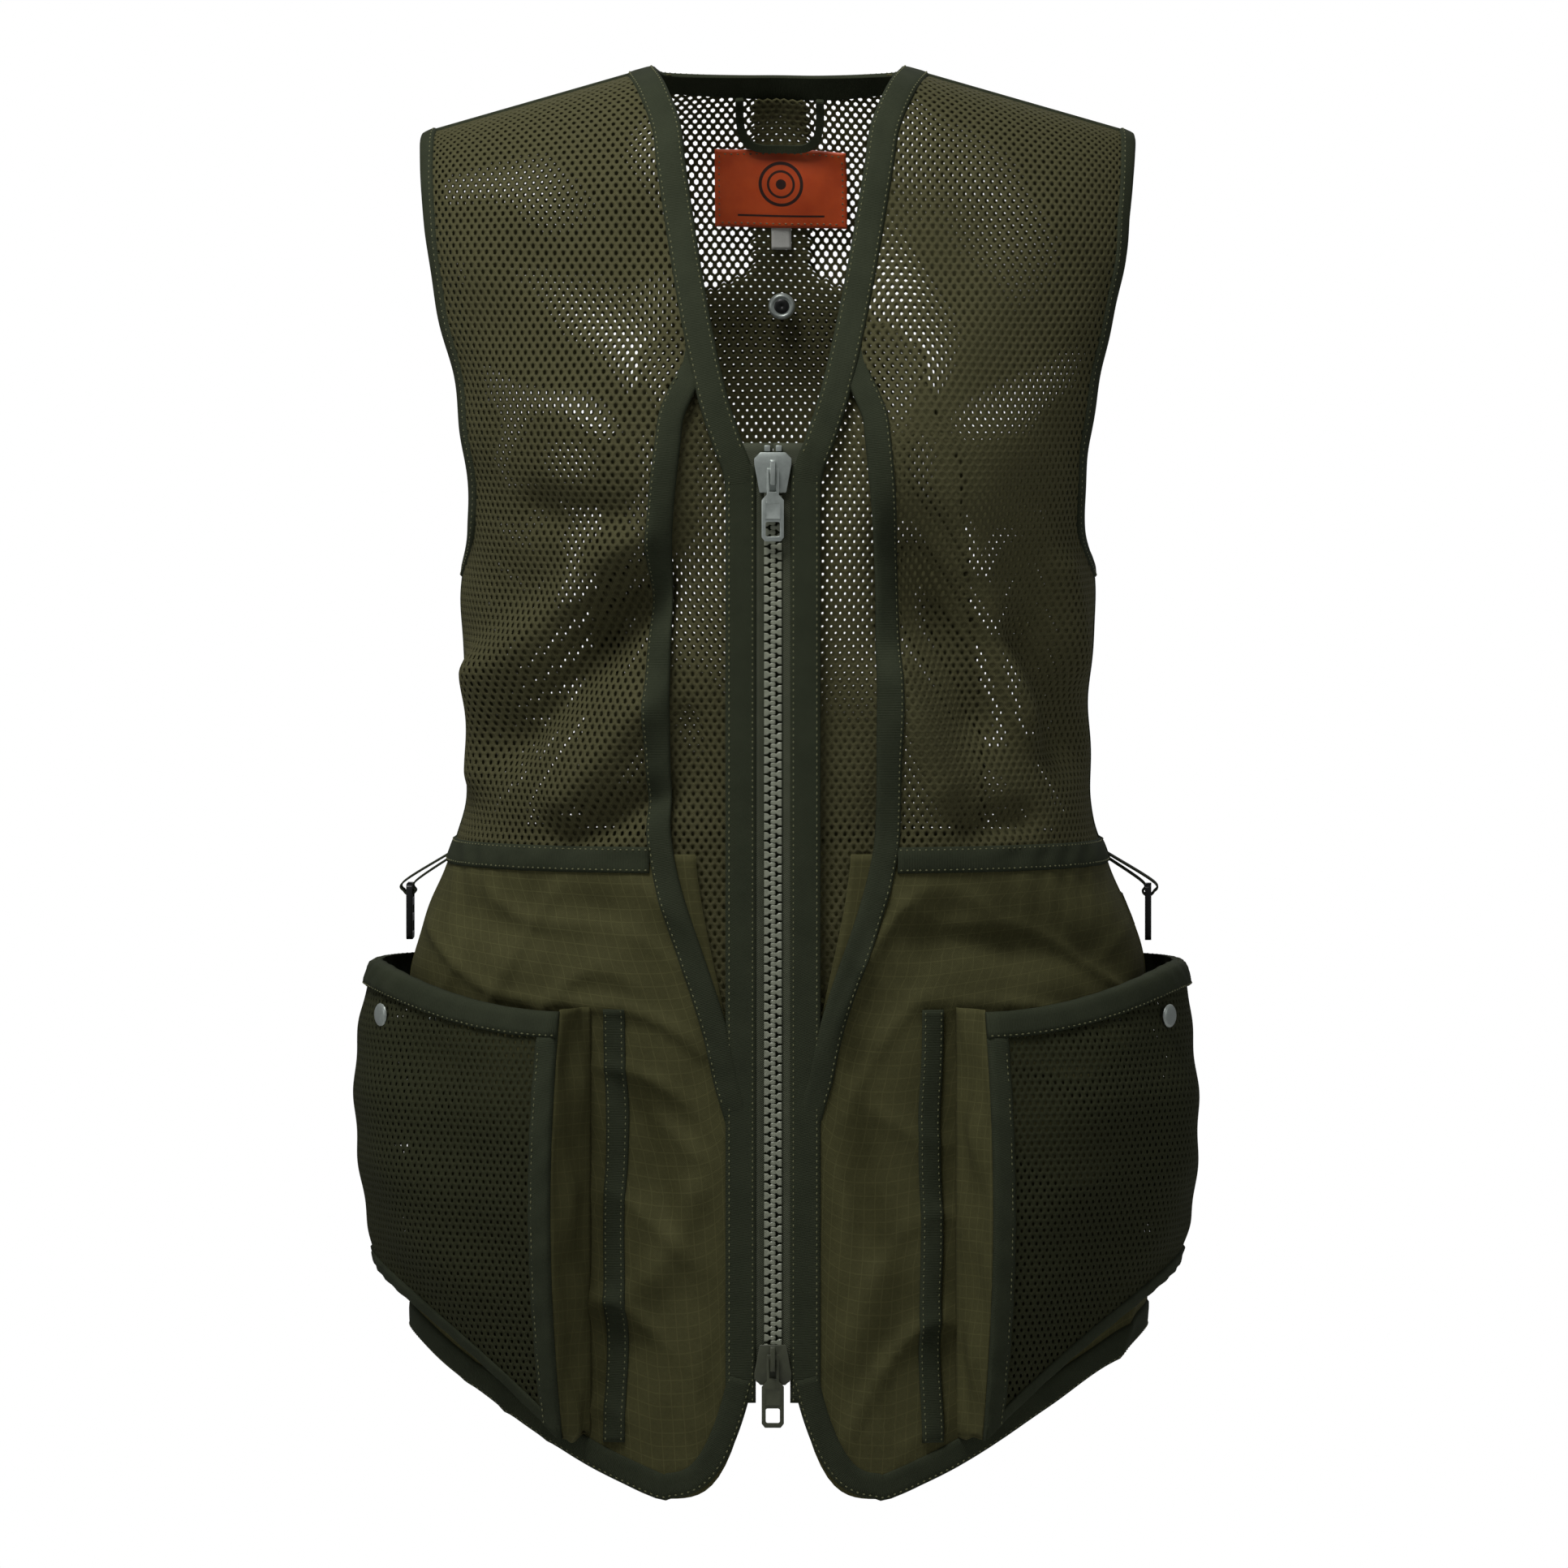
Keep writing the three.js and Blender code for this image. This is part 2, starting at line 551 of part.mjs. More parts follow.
for (const [hand, sign] of [['left', 1], ['right', -1]]) {
  const reflect = (points) => (sign > 0 ? points : mirrored(points));

  // Armhole binding: from the foot of the armhole up the front, over the tip and down behind.
  const armholeHalf = (side) => range(14).map((t) => {
    const foot = CHEST_HEIGHT + ARMHOLE_BINDING / 3;
    if (t === 0) return bodyAround(90, foot);
    let z = lerp(foot, tipHeight, Math.sin((t * t * 0.3 + t * 0.7) * Math.PI / 2));
    let angle = sideAngle(z - ARMHOLE_BINDING / 4, side) - 1;
    let p = bodyAround(side < 0 ? angle : 180 - angle, z);
    for (let k = 0; k < 20; k++) {
      z = Math.min(z, shoulderLine(p.x));
      p = bodyAround(side < 0 ? angle : 180 - angle, z);
    }
    return p;
  });
  const frontHalf = armholeHalf(-1);
  const backHalf = armholeHalf(1);
  const shoulderTip = bodyPoint(SHOULDER_HALF_WIDTH - 2, shoulderLine(SHOULDER_HALF_WIDTH - 2), 1);
  const armhole = new THREE.CatmullRomCurve3(
    [...frontHalf.slice(0, -1), shoulderTip, ...backHalf.slice(1, -1).reverse()], true, 'centripetal');
  const armholeRoute = reflect(armhole.getSpacedPoints(48).slice(0, -1));
  addPiece(`${hand}_armhole_binding`,
    band(armholeRoute, ARMHOLE_BINDING, TAPE_LIFT, TAPE, true), tapeCloth);

  // Narrow tape over the shoulder seam, between the neck and armhole bindings.
  const seamFrom = NECK_HALF_WIDTH + NECK_BINDING + 4 * SEAM_GAP;
  const seamTo = SHOULDER_HALF_WIDTH - ARMHOLE_BINDING - 2;
  addPiece(`${hand}_shoulder_tape`, band(range(6).map((t) => {
    const x = sign * lerp(seamFrom, seamTo, t);
    return bodyPoint(x, shoulderLine(x), 1);
  }), SHOULDER_TAPE), tapeCloth);

  // Curved tape on the free edge of the outer front panel.
  addPiece(`${hand}_opening_tape`, band(spaced(range(16).map((t) => {
    const z = lerp(OPENING_FOOT, openingTop, t);
    return bodyPoint(sign * (openingEdge(z) + OPENING_TAPE / 2), z, -1);
  }), 13), OPENING_TAPE), tapeCloth);

  const waistInner = openingEdge(WAIST_TAPE_HEIGHT + WAIST_TAPE / 2) + OPENING_TAPE + 3;
  const waistFrom = angleAt(waistInner, WAIST_TAPE_HEIGHT);
  addPiece(`${hand}_waist_tape`, band(range(11).map((t) =>
    bodyAround(sign * lerp(waistFrom, 89.8, t), WAIST_TAPE_HEIGHT)), WAIST_TAPE, WAIST_TAPE_LIFT), tapeCloth);

  // Facing over the zip tape, and the zip tape itself.
  const flat = (name, inner, outer, low, high, back, thickness, look) => {
    const [from, to] = sign > 0 ? [inner, outer] : [-outer, -inner];
    addPiece(name, box([from, back - thickness, low], [to, back, high]), look);
  };
  addPiece(`${hand}_zip_facing`, panel((across, up) => {
    const z = lerp(TIP_RISE + SEAM_GAP, V_HEIGHT - SEAM_GAP, up);
    return bodyPoint(sign * lerp(FACING_INNER, FACING_OUTER, across), z, -1);
  }, 2, 5, FACING_LIFT, FACING_THICKNESS), tapeCloth);
  const tapeInner = CHAIN_HALF_WIDTH + 0.3;
  flat(`${hand}_zip_tape`, tapeInner, tapeInner + ZIP_TAPE_WIDTH, tapeFoot, tapeTop,
    tapeY, ZIP_TAPE_THICKNESS, zipCloth);

  // One row of teeth: tips reach past the middle into the valleys of the other row.
  const valley = TOOTH_TIP + TOOTH_CLEARANCE;
  const phase = sign > 0 ? 0 : 0.5;
  const comb = new THREE.Shape();
  comb.moveTo(sign * CHAIN_HALF_WIDTH, CHAIN_FOOT);
  comb.lineTo(sign * valley, CHAIN_FOOT);
  for (let i = 0; i < TOOTH_COUNT; i++) {
    const z = CHAIN_FOOT + (i + phase / 2) * TOOTH_PITCH;
    comb.lineTo(sign * valley, z + (phase / 2 + 0.02) * TOOTH_PITCH);
    comb.lineTo(-sign * TOOTH_TIP, z + (phase / 2 + 0.5) * TOOTH_PITCH);
  }
  comb.lineTo(sign * valley, chainTop + phase * TOOTH_PITCH);
  comb.lineTo(sign * CHAIN_HALF_WIDTH, chainTop + phase * TOOTH_PITCH);
  addPiece(`${hand}_zip_teeth`,
    upright(comb, chainY + TOOTH_THICKNESS / 2, TOOTH_THICKNESS), moulded);

  const stopFoot = topSliderHeight + SLIDER_LENGTH / 2 + SEAM_GAP;
  flat(`${hand}_top_stop`, 1.4, CHAIN_HALF_WIDTH, stopFoot, stopFoot + STOP_LENGTH,
    chainY + TOOTH_THICKNESS / 2, TOOTH_THICKNESS, nickel);
  flat(`${hand}_bottom_pin`, 2.7, CHAIN_HALF_WIDTH, CHAIN_FOOT - SEAM_GAP - PIN_LENGTH,
    CHAIN_FOOT - SEAM_GAP, chainY + TOOTH_THICKNESS / 2, TOOTH_THICKNESS, moulded);
}

// ---- Sliders and their pulls ----

// A slider: two plates joined by the diamond that parts the rows, with side flanges that leave a slot
// for the tape, and an arch in front that holds the pull. up is 1 with the crown at the top.
const plateInner = TOOTH_THICKNESS / 2 + SLIDER_CLEARANCE;
const pivotGap = 2.0;
const archFront = 3.3;
const archInner = 1.7;

function slider(centre, up, pivotHeight) {
  const tail = SLIDER_TAIL / 2;
  const crown = SLIDER_CROWN / 2;
  const half = SLIDER_LENGTH / 2;
  const at = (points) => outline(points.map(([x, z]) => [x, centre + up * z]));
  const edge = [[-tail, -half], [tail, -half], [crown, half - 6], [crown, half - 3], [crown - 3, half],
    [-crown + 3, half], [-crown, half - 3], [-crown, half - 6]];
  const flange = (sign) => at([[sign * 5.2, -half], [sign * tail, -half], [sign * 8, half - 5],
    [sign * 8, half - 2], [sign * 6.6, half - 2], [sign * 6.4, half - 6]]);
  const diamond = at([[0, -half + 8], [2.1, half - 6], [1.4, half - 2], [-1.4, half - 2], [-2.1, half - 6]]);
  const slot = ZIP_TAPE_THICKNESS / 2 + 0.35;
  const frontY = chainY - plateInner;
  const backY = chainY + plateInner;
  const join = 0.1;
  const parts = [
    upright(at(edge), frontY, SLIDER_PLATE),
    upright(at(edge), backY + SLIDER_PLATE, SLIDER_PLATE),
    upright(diamond, backY + join, 2 * plateInner + 2 * join),
  ];
  for (const sign of [-1, 1]) {
    parts.push(upright(flange(sign), chainY - slot, plateInner - slot + join));
    parts.push(upright(flange(sign), backY + join, plateInner - slot + join));
  }
  const face = frontY - SLIDER_PLATE;
  const pivotY = face - pivotGap;
  parts.push(box([-1.2, pivotY - archFront, pivotHeight + 3], [1.2, face + join, pivotHeight + 5]));
  parts.push(box([-1.2, pivotY - archFront, pivotHeight - 7], [1.2, face + join, pivotHeight - 5]));
  parts.push(box([-1.2, pivotY - archFront, pivotHeight - 7], [1.2, pivotY - archInner, pivotHeight + 5]));
  return geometryOf(parts.map(solid).reduce((a, b) => a.add(b)));
}

// A pull: a cross bar in the arch, a narrow yoke, and a plate with a window at its foot.
function pull(pivotHeight) {
  const half = PULL_WIDTH / 2;
  const yoke = outline([[-3, 1.2], [3, 1.2], [3, -12], [half - 1.4, -13], [half, -14.6],
    [half, 2 - PULL_LENGTH], [half - 1.6, -PULL_LENGTH], [1.6 - half, -PULL_LENGTH],
    [-half, 2 - PULL_LENGTH], [-half, -14.6], [1.4 - half, -13], [-3, -12]]);
  const eye = new THREE.Path([[-1.7, -1.2], [-1.7, -10.5], [1.7, -10.5], [1.7, -1.2]]
    .map(([x, z]) => new THREE.Vector2(x, z)));
  const window = windowIn(roundedOutline(7, 2.4 - PULL_LENGTH, 9.6 - PULL_LENGTH, 1), 3);
  yoke.holes.push(eye, window);
  const pivotY = chainY - plateInner - SLIDER_PLATE - pivotGap;
  return upright(yoke, pivotY + PULL_THICKNESS / 2, PULL_THICKNESS).translate(0, 0, pivotHeight);
}

const topPivot = topSliderHeight + 1;
const bottomPivot = bottomSliderHeight + 4;
addPiece('top_slider', slider(topSliderHeight, 1, topPivot), nickel);
addPiece('top_pull', pull(topPivot), nickel);
addPiece('bottom_slider', slider(bottomSliderHeight, -1, bottomPivot), olivePaint);
addPiece('bottom_pull', pull(bottomPivot), olivePaint);

// ---- Bellows pockets ----

// across runs from the free front edge to the sewn rear edge, up from the foot to the mouth.
const pocketAngle = (across) =>
  lerp(angleAt(POCKET_FRONT_X, HIP_HEIGHT), POCKET_REAR_ANGLE, across);
const pocketFoot = (across) => POCKET_FOOT_HEIGHT + POCKET_FOOT_RISE * (1 - (1 - across) ** 3);
const pocketMouth = (across) => POCKET_MOUTH_HEIGHT
  + POCKET_MOUTH_RISE * THREE.MathUtils.smoothstep(across, 0, 0.6);
const pocketHeight = (across, up) => lerp(pocketFoot(across), pocketMouth(across), up);
const bulge = (up) => 0.3 + 0.7 * Math.sin(Math.PI * (0.12 + 0.72 * clamp(up, 0, 1)));
const pocketStand = (across, up) => POCKET_REAR_STAND
  + (POCKET_DEPTH - POCKET_REAR_STAND) * (1 - across) ** 0.45 * bulge(up);

function pocketPoint(across, up, extra, sign) {
  const p = bodyAround(pocketAngle(across), pocketHeight(across, up));
  const away = outward(p).setZ(0).normalize();
  p.addScaledVector(away, pocketStand(across, up) + extra);
  p.x *= sign;
  return p;
}

function snapDisc(profilePoints, centre, direction, segments = 16) {
  const points = profilePoints.map(([r, h]) => new THREE.Vector2(r, h));
  const turn = new THREE.Quaternion().setFromUnitVectors(new THREE.Vector3(0, 1, 0), direction);
  const disc = new THREE.LatheGeometry(points, segments).applyQuaternion(turn);
  return disc.translate(centre.x, centre.y, centre.z);
}

for (const [hand, sign] of [['left', 1], ['right', -1]]) {
  const grid = (columns, rows, place, base, thickness) => {
    const faces = [base + thickness, base].map((extra) => range(rows).map((i) =>
      range(columns).map((j) => pocketPoint(...place(j, i), extra, sign))));
    return slab(...faces);
  };
  addPiece(`${hand}_pocket_panel`,
    grid(15, 9, (j, i) => [1 - (1 - j) ** 1.6, i], 0, CLOTH), meshCloth);
  const bindingShare = (across) => MOUTH_BINDING / (pocketMouth(across) - pocketFoot(across));
  addPiece(`${hand}_pocket_mouth_binding`, grid(15, 1, (j, i) => {
    const across = 1 - (1 - j) ** 1.6;
    return [across, 1 - bindingShare(across) * (1 - i)];
  }, CLOTH + 0.6, TAPE), tapeCloth);
  const edgeShare = EDGE_BINDING / 190;
  addPiece(`${hand}_pocket_edge_binding`, grid(1, 10, (j, i) => [j * edgeShare,
    lerp(0, 1 - bindingShare(0) - 0.004, i)], CLOTH + 0.6, TAPE), tapeCloth);

  // Gusset: from the body tape out to the free edge, and on under the foot of the pocket.
  const pairs = [];
  const foldX = BODY_TAPE_X + BODY_TAPE / 2 + 4;
  for (const up of range(10).reverse()) {
    const z = pocketHeight(0, up) + 1;
    const root = lifted(bodyPoint(lerp(foldX, POCKET_FRONT_X, 0.3), z, -1), TAPE_LIFT + TAPE + SEAM_GAP);
    root.x *= sign;
    const free = pocketPoint(0, up, -1.6, sign);
    pairs.push([root, free.setZ(z)]);
  }
  for (const across of range(10).slice(1).map((t) => t * 0.94)) {
    const root = pocketPoint(across, 0, TAPE_LIFT + TAPE + SEAM_GAP - pocketStand(across, 0), sign);
    const free = pocketPoint(across, 0, -1.6, sign);
    root.z += 2;
    free.z += 2;
    pairs.push([root, free]);
  }
  const gussetFaces = [1, -1].map((face) => pairs.map(([root, free], i) => {
    const [before] = pairs[Math.max(i - 1, 0)];
    const [after] = pairs[Math.min(i + 1, pairs.length - 1)];
    const normal = new THREE.Vector3().subVectors(after, before)
      .cross(new THREE.Vector3().subVectors(free, root)).setLength(face * CLOTH / 2);
    return [root.clone().add(normal), free.clone().add(normal)];
  }));
  addPiece(`${hand}_pocket_gusset`, slab(...gussetFaces), ripstop);

  const tapeLow = POCKET_FOOT_HEIGHT - 2;
  const bodyTape = range(10).map((t) =>
    bodyPoint(sign * BODY_TAPE_X, lerp(tapeLow, POCKET_MOUTH_HEIGHT, t), -1));
  addPiece(`${hand}_pocket_body_tape`, band(bodyTape, BODY_TAPE), tapeCloth);

  // Press stud on the mouth: a cap outside the pocket and its socket on the body.
  const snapAcross = 0.45;
  const snapUp = 1 - SNAP_DROP / (pocketMouth(snapAcross) - pocketFoot(snapAcross));
  const capSeat = pocketPoint(snapAcross, snapUp, CLOTH + 1, sign);
  const socketSeat = pocketPoint(snapAcross, snapUp, CLOTH + 0.8 - pocketStand(snapAcross, snapUp), sign);
  const direction = new THREE.Vector3().subVectors(capSeat, socketSeat).normalize();
  const r = SNAP_DIAMETER / 2;
  addPiece(`${hand}_pocket_snap_cap`, snapDisc(
    [[0, 0], [r - 0.6, 0], [r, 0.8], [r - 1, 1.7], [r / 2, 2.2], [0, 2.3]], capSeat, direction), nickel);
  addPiece(`${hand}_pocket_snap_socket`, snapDisc(
    [[0, 0], [r - 0.5, 0], [r - 0.5, 1], [r / 2 + 0.6, 2.2], [r / 2 - 0.4, 2.2], [r / 2 - 0.8, 1], [0, 1]],
    socketSeat, direction), nickel);
}

// ---- Inside the back neck ----

addPiece('label', panel((across, up) => bodyPoint(lerp(-0.5, 0.5, across) * LABEL_WIDTH,
  LABEL_FOOT + up * LABEL_HEIGHT, 1), 6, 4, OVERLAY_LIFT - CLOTH - 1.4, 0.6), orangeSatin);
addPiece('size_tab', panel((across, up) => bodyPoint(lerp(-0.5, 0.5, across) * SIZE_TAB_WIDTH,
  LABEL_FOOT - SEAM_GAP - (1 - up) * SIZE_TAB_HEIGHT, 1), 1, 2, OVERLAY_LIFT - CLOTH - 1.4, 0.5), whiteTape);

const loopTop = BACK_NECK_HEIGHT - 9;
const loopRoute = range(18).map((t) => {
  const turn = Math.PI * t;
  const x = LOOP_WIDTH / 2 * Math.sign(Math.cos(turn)) * Math.abs(Math.cos(turn)) ** 0.5;
  return bodyPoint(x, loopTop - LOOP_DROP * Math.sin(turn) ** 0.6, 1);
});
addPiece('hanging_loop', band(loopRoute, LOOP_TAPE, LOOP_LIFT, 1.4), tapeCloth);

const backCloth = lifted(bodyPoint(0, BACK_SNAP_HEIGHT, 1), OVERLAY_LIFT - CLOTH);
const ring = BACK_SNAP_DIAMETER / 2;
const backSnap = snapDisc([[0, 0], [ring, 0], [ring, 1.6], [ring - 0.8, 2.4], [2.6, 2.4], [2.2, 1], [0, 1]],
  new THREE.Vector3(0, backCloth.y - 3.4, BACK_SNAP_HEIGHT), new THREE.Vector3(0, -1, 0), 20);
addPiece('back_snap', backSnap, nickel);

// ---- Side adjusters ----

for (const [hand, sign] of [['left', 1], ['right', -1]]) {
  // A strap across the lower back that would be threaded through the buckle at the side.
  addPiece(`${hand}_adjuster_strap`, band(range(8).map((t) =>
    bodyAround(sign * lerp(104, 150, t), STRAP_HEIGHT)), STRAP_WIDTH), tapeCloth);

  // Short tab below the waist tape, and the ladder-lock buckle that hangs from it.
  const tabLow = BUCKLE_HANG + 2;
  const tapeTilt = outward(bodyAround(100, WAIST_TAPE_HEIGHT)).z;
  const tabHigh = WAIST_TAPE_HEIGHT - WAIST_TAPE / 2 * Math.sqrt(1 - tapeTilt ** 2) - 2 * SEAM_GAP;
  addPiece(`${hand}_buckle_tab`, panel((across, up) =>
    bodyAround(sign * lerp(94, 106, across), lerp(tabLow, tabHigh, up)),
  3, 1, TAPE_LIFT + 0.6, TAPE), tapeCloth);
  const frame = roundedOutline(BUCKLE_WIDTH, BUCKLE_HANG - BUCKLE_HEIGHT, BUCKLE_HANG, 3);
  for (const [low, high] of [[3, 7.5], [11, 15.5], [19, 24.5]]) {
    frame.holes.push(windowIn(roundedOutline(BUCKLE_WIDTH - 7,
      BUCKLE_HANG - high, BUCKLE_HANG - low, 1), 2));
  }
  const buckleX = halfWidth(BUCKLE_HANG - BUCKLE_HEIGHT) + TAPE_LIFT + TAPE + 1;
  const buckle = upright(frame, 0, BUCKLE_THICKNESS, 3).rotateZ(Math.PI / 2);
  const middleY = bodyAround(100, STRAP_HEIGHT).y;
  const shift = sign > 0 ? buckleX : -buckleX - BUCKLE_THICKNESS;
  addPiece(`${hand}_side_buckle`, buckle.translate(shift, middleY, 0), blackPlastic);
}

export default vest;
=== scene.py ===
import math

import bpy
import numpy as np
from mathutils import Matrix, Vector


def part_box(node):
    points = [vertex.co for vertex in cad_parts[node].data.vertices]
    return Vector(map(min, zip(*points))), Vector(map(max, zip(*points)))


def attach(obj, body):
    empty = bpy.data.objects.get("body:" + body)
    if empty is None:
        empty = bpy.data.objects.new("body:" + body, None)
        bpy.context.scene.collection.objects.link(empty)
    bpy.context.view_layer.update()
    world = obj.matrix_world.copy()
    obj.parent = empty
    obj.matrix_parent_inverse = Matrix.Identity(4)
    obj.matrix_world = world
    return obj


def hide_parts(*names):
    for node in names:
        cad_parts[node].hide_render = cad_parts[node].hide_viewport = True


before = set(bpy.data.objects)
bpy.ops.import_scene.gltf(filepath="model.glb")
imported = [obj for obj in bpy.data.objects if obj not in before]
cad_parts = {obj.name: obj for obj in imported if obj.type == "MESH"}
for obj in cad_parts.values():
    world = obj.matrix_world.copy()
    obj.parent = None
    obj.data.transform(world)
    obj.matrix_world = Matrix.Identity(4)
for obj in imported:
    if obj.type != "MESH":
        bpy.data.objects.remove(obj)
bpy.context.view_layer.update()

# ---- Camera, light and floor ----
# The vest hangs in the air as on a wearer, seen from far off, almost straight from the front. A soft
# light stands high in front, a weaker one at each side and one behind, and a pale floor lies far below.
CAMERA_TURN = math.radians(1.2)
CAMERA_RISE = math.radians(2.5)
CAMERA_DISTANCE = 9.0
CAMERA_AIM = Vector((0.003, 0, -0.340))
CAMERA_LENS = 412
FLOOR_HEIGHT = -1.36
FLOOR_RADIUS = 2.9

scene = bpy.context.scene
scene.view_settings.view_transform = "Standard"
camera = bpy.data.objects.new("camera", bpy.data.cameras.new("camera"))
scene.collection.objects.link(camera)
camera.data.lens = CAMERA_LENS
towards = Vector((math.sin(CAMERA_TURN) * math.cos(CAMERA_RISE),
                  -math.cos(CAMERA_TURN) * math.cos(CAMERA_RISE), math.sin(CAMERA_RISE)))
camera.location = CAMERA_AIM + towards * CAMERA_DISTANCE
camera.rotation_euler = (-towards).to_track_quat("-Z", "Y").to_euler()
scene.camera = camera

for name, place, size, power in (
    ("key_light", (-0.42, -0.80, 1.10), 0.6, 17),
    ("left_light", (2.2, -1.4, 0.5), 1.0, 4),
    ("right_light", (-2.2, -1.2, 0.1), 1.0, 5),
    ("back_light", (0.3, 2.6, 1.2), 1.6, 12),
):
    lamp = bpy.data.objects.new(name, bpy.data.lights.new(name, "AREA"))
    scene.collection.objects.link(lamp)
    lamp.data.size = size
    lamp.data.energy = power
    lamp.location = place
    lamp.rotation_euler = (CAMERA_AIM - lamp.location).to_track_quat("-Z", "Y").to_euler()

world = bpy.data.worlds.new("studio")
scene.world = world
world.use_nodes = True
sky = world.node_tree.nodes
seen = sky["Background"]
seen.inputs["Color"].default_value = (1, 1, 1, 1)
around_light = sky.new("ShaderNodeBackground")
around_light.inputs["Color"].default_value = (0.96, 0.98, 1, 1)
around_light.inputs["Strength"].default_value = 0.13
pick = sky.new("ShaderNodeMixShader")
for source, target in (
    (sky.new("ShaderNodeLightPath").outputs["Is Camera Ray"], pick.inputs[0]),
    (around_light.outputs[0], pick.inputs[1]),
    (seen.outputs[0], pick.inputs[2]),
    (pick.outputs[0], sky["World Output"].inputs[0]),
):
    world.node_tree.links.new(source, target)

bpy.ops.object.select_all(action="DESELECT")
bpy.ops.mesh.primitive_circle_add(vertices=96, radius=FLOOR_RADIUS, fill_type="NGON",
                                  location=(0, 0, FLOOR_HEIGHT))
floor = bpy.context.object
floor.name = "floor"
bpy.ops.object.transform_apply(location=True)
paint = bpy.data.materials.new("floor_paint")
paint.use_nodes = True
paint.node_tree.nodes["Principled BSDF"].inputs["Base Color"].default_value = (0.86, 0.86, 0.85, 1)
floor.data.materials.append(paint)

# ---- Front mesh panels ----
# Two upper fronts of warp-knitted polyester mesh with staggered oval holes, cut from the shoulder
# seam to the waist and sewn under the bindings. They hang over the chest in soft diagonal folds.
# All heights here are above the front hem, and the frame's origin is at the shoulders.
SEAT = 0.690
SQUARENESS = 2.4
NECK_HEIGHT, NECK_HALF = 0.708, 0.061
SHOULDER_HALF, SHOULDER_DROP, SHOULDER_ROUND = 0.176, 0.033, 0.060
CHEST_HEIGHT, V_HEIGHT, V_HALF, COLLAR_HALF = 0.455, 0.520, 0.011, 0.050
ARMHOLE_REACH, ARMHOLE_ROUND = 0.050, 0.065
NECK_BINDING, OPENING_TAPE = 0.0146, 0.0125
WAIST_HEIGHT = 0.317
ROLL = 0.064
CELL_WIDTH, CELL_ROW, CELL_SIDE = 0.0045, 0.0033, 0.0010
MESH_LAYER = (0.0002, 0.0010)
HOLE_WIDTH, HOLE_HEIGHT = 0.0020, 0.0030
SEAM_MARGIN = 0.0016
SHOULDER_SLOPE = SHOULDER_DROP / (SHOULDER_HALF - NECK_HALF)
TIP_HEIGHT = NECK_HEIGHT - SHOULDER_DROP
HALF_WIDTHS = ((0.250, 0.183), (0.350, 0.155), (0.455, 0.156),
               (TIP_HEIGHT, SHOULDER_HALF / (1 - (0.050 / 0.116) ** SQUARENESS) ** (1 / SQUARENESS)))
FRONT_DEPTHS = ((0.520, 0.116), (0.708, 0.062))
BACK_DEPTHS = ((0.250, 0.112), (0.350, 0.100), (0.520, 0.112), (0.708, 0.062))
OPENING_EDGE = ((0.195, 0.017), (0.340, 0.051), (0.440, 0.051), (0.570, 0.0425))
FOLD_STRENGTH, CRUMPLE_RISE = 1.7, 0.0020
# Folds of the fronts: both ends as across and height, then half width and rise; a valley is below 0.
FOLDS = (
    (-0.140, 0.362, -0.052, 0.462, 0.013, -0.0085), (-0.150, 0.400, -0.056, 0.488, 0.012, 0.0050),
    (-0.110, 0.335, -0.056, 0.402, 0.012, 0.0060), (-0.110, 0.322, -0.050, 0.352, 0.009, -0.0050),
    (-0.125, 0.492, -0.060, 0.484, 0.012, -0.0040), (-0.152, 0.345, -0.146, 0.420, 0.008, 0.0040),
    (0.060, 0.492, 0.112, 0.368, 0.015, -0.0075), (0.118, 0.440, 0.152, 0.360, 0.012, -0.0065),
    (0.094, 0.480, 0.134, 0.372, 0.010, 0.0050), (0.058, 0.420, 0.086, 0.340, 0.011, 0.0050),
    (0.140, 0.470, 0.156, 0.400, 0.008, 0.0035), (0.090, 0.330, 0.130, 0.338, 0.008, -0.0035),
    (0.070, 0.287, 0.172, 0.262, 0.014, -0.0045), (-0.165, 0.282, -0.072, 0.292, 0.016, -0.0030),
    (-0.070, 0.205, -0.048, 0.120, 0.009, -0.0030), (0.040, 0.235, 0.066, 0.110, 0.012, -0.0030),
    (-0.062, 0.100, -0.034, 0.160, 0.008, 0.0025), (0.030, 0.060, 0.060, 0.120, 0.010, 0.0025),
    (-0.030, 0.470, -0.018, 0.415, 0.008, -0.0030), (-0.046, 0.395, -0.022, 0.330, 0.008, -0.0032),
)


def profile(knots, h):
    """A smooth run of values through (height, value) knots."""
    out = np.full(np.shape(h), float(knots[0][1]))
    for (low, a), (high, b) in zip(knots, knots[1:]):
        t = np.clip((h - low) / (high - low), 0, 1)
        out = out + (b - a) * t * t * (3 - 2 * t)
    return out


def step(v, low, high):
    """0 below low, 1 above high, and a smooth rise between them."""
    t = np.clip((v - low) / (high - low), 0, 1)
    return t * t * (3 - 2 * t)


def half_width(h):
    return profile(HALF_WIDTHS, h)


def depth(h, side):
    return np.where(np.asarray(side) < 0, profile(FRONT_DEPTHS, h), profile(BACK_DEPTHS, h))


def shoulder_line(x):
    return NECK_HEIGHT - (np.abs(x) - NECK_HALF) * SHOULDER_SLOPE


def spread(x, h):
    drop = np.clip((shoulder_line(x) - h) / SHOULDER_ROUND, 0, 1)
    return np.sqrt(np.clip(1 - (1 - drop) ** 2, 0, 1))


def fullness(x, h):
    """The share of the body's depth that is left at a place across: 1 at the centre, 0 at the side."""
    return (1 - np.clip(np.abs(x) / half_width(h), 0, 1) ** SQUARENESS) ** (1 / SQUARENESS)


def body(x, h, side):
    """Points on the wearer's body at places across and heights; side is -1 in front, 1 behind."""
    x, h = np.broadcast_arrays(np.asarray(x, float), np.asarray(h, float))
    return np.stack([x, side * depth(h, side) * fullness(x, h) * spread(x, h), h], -1)


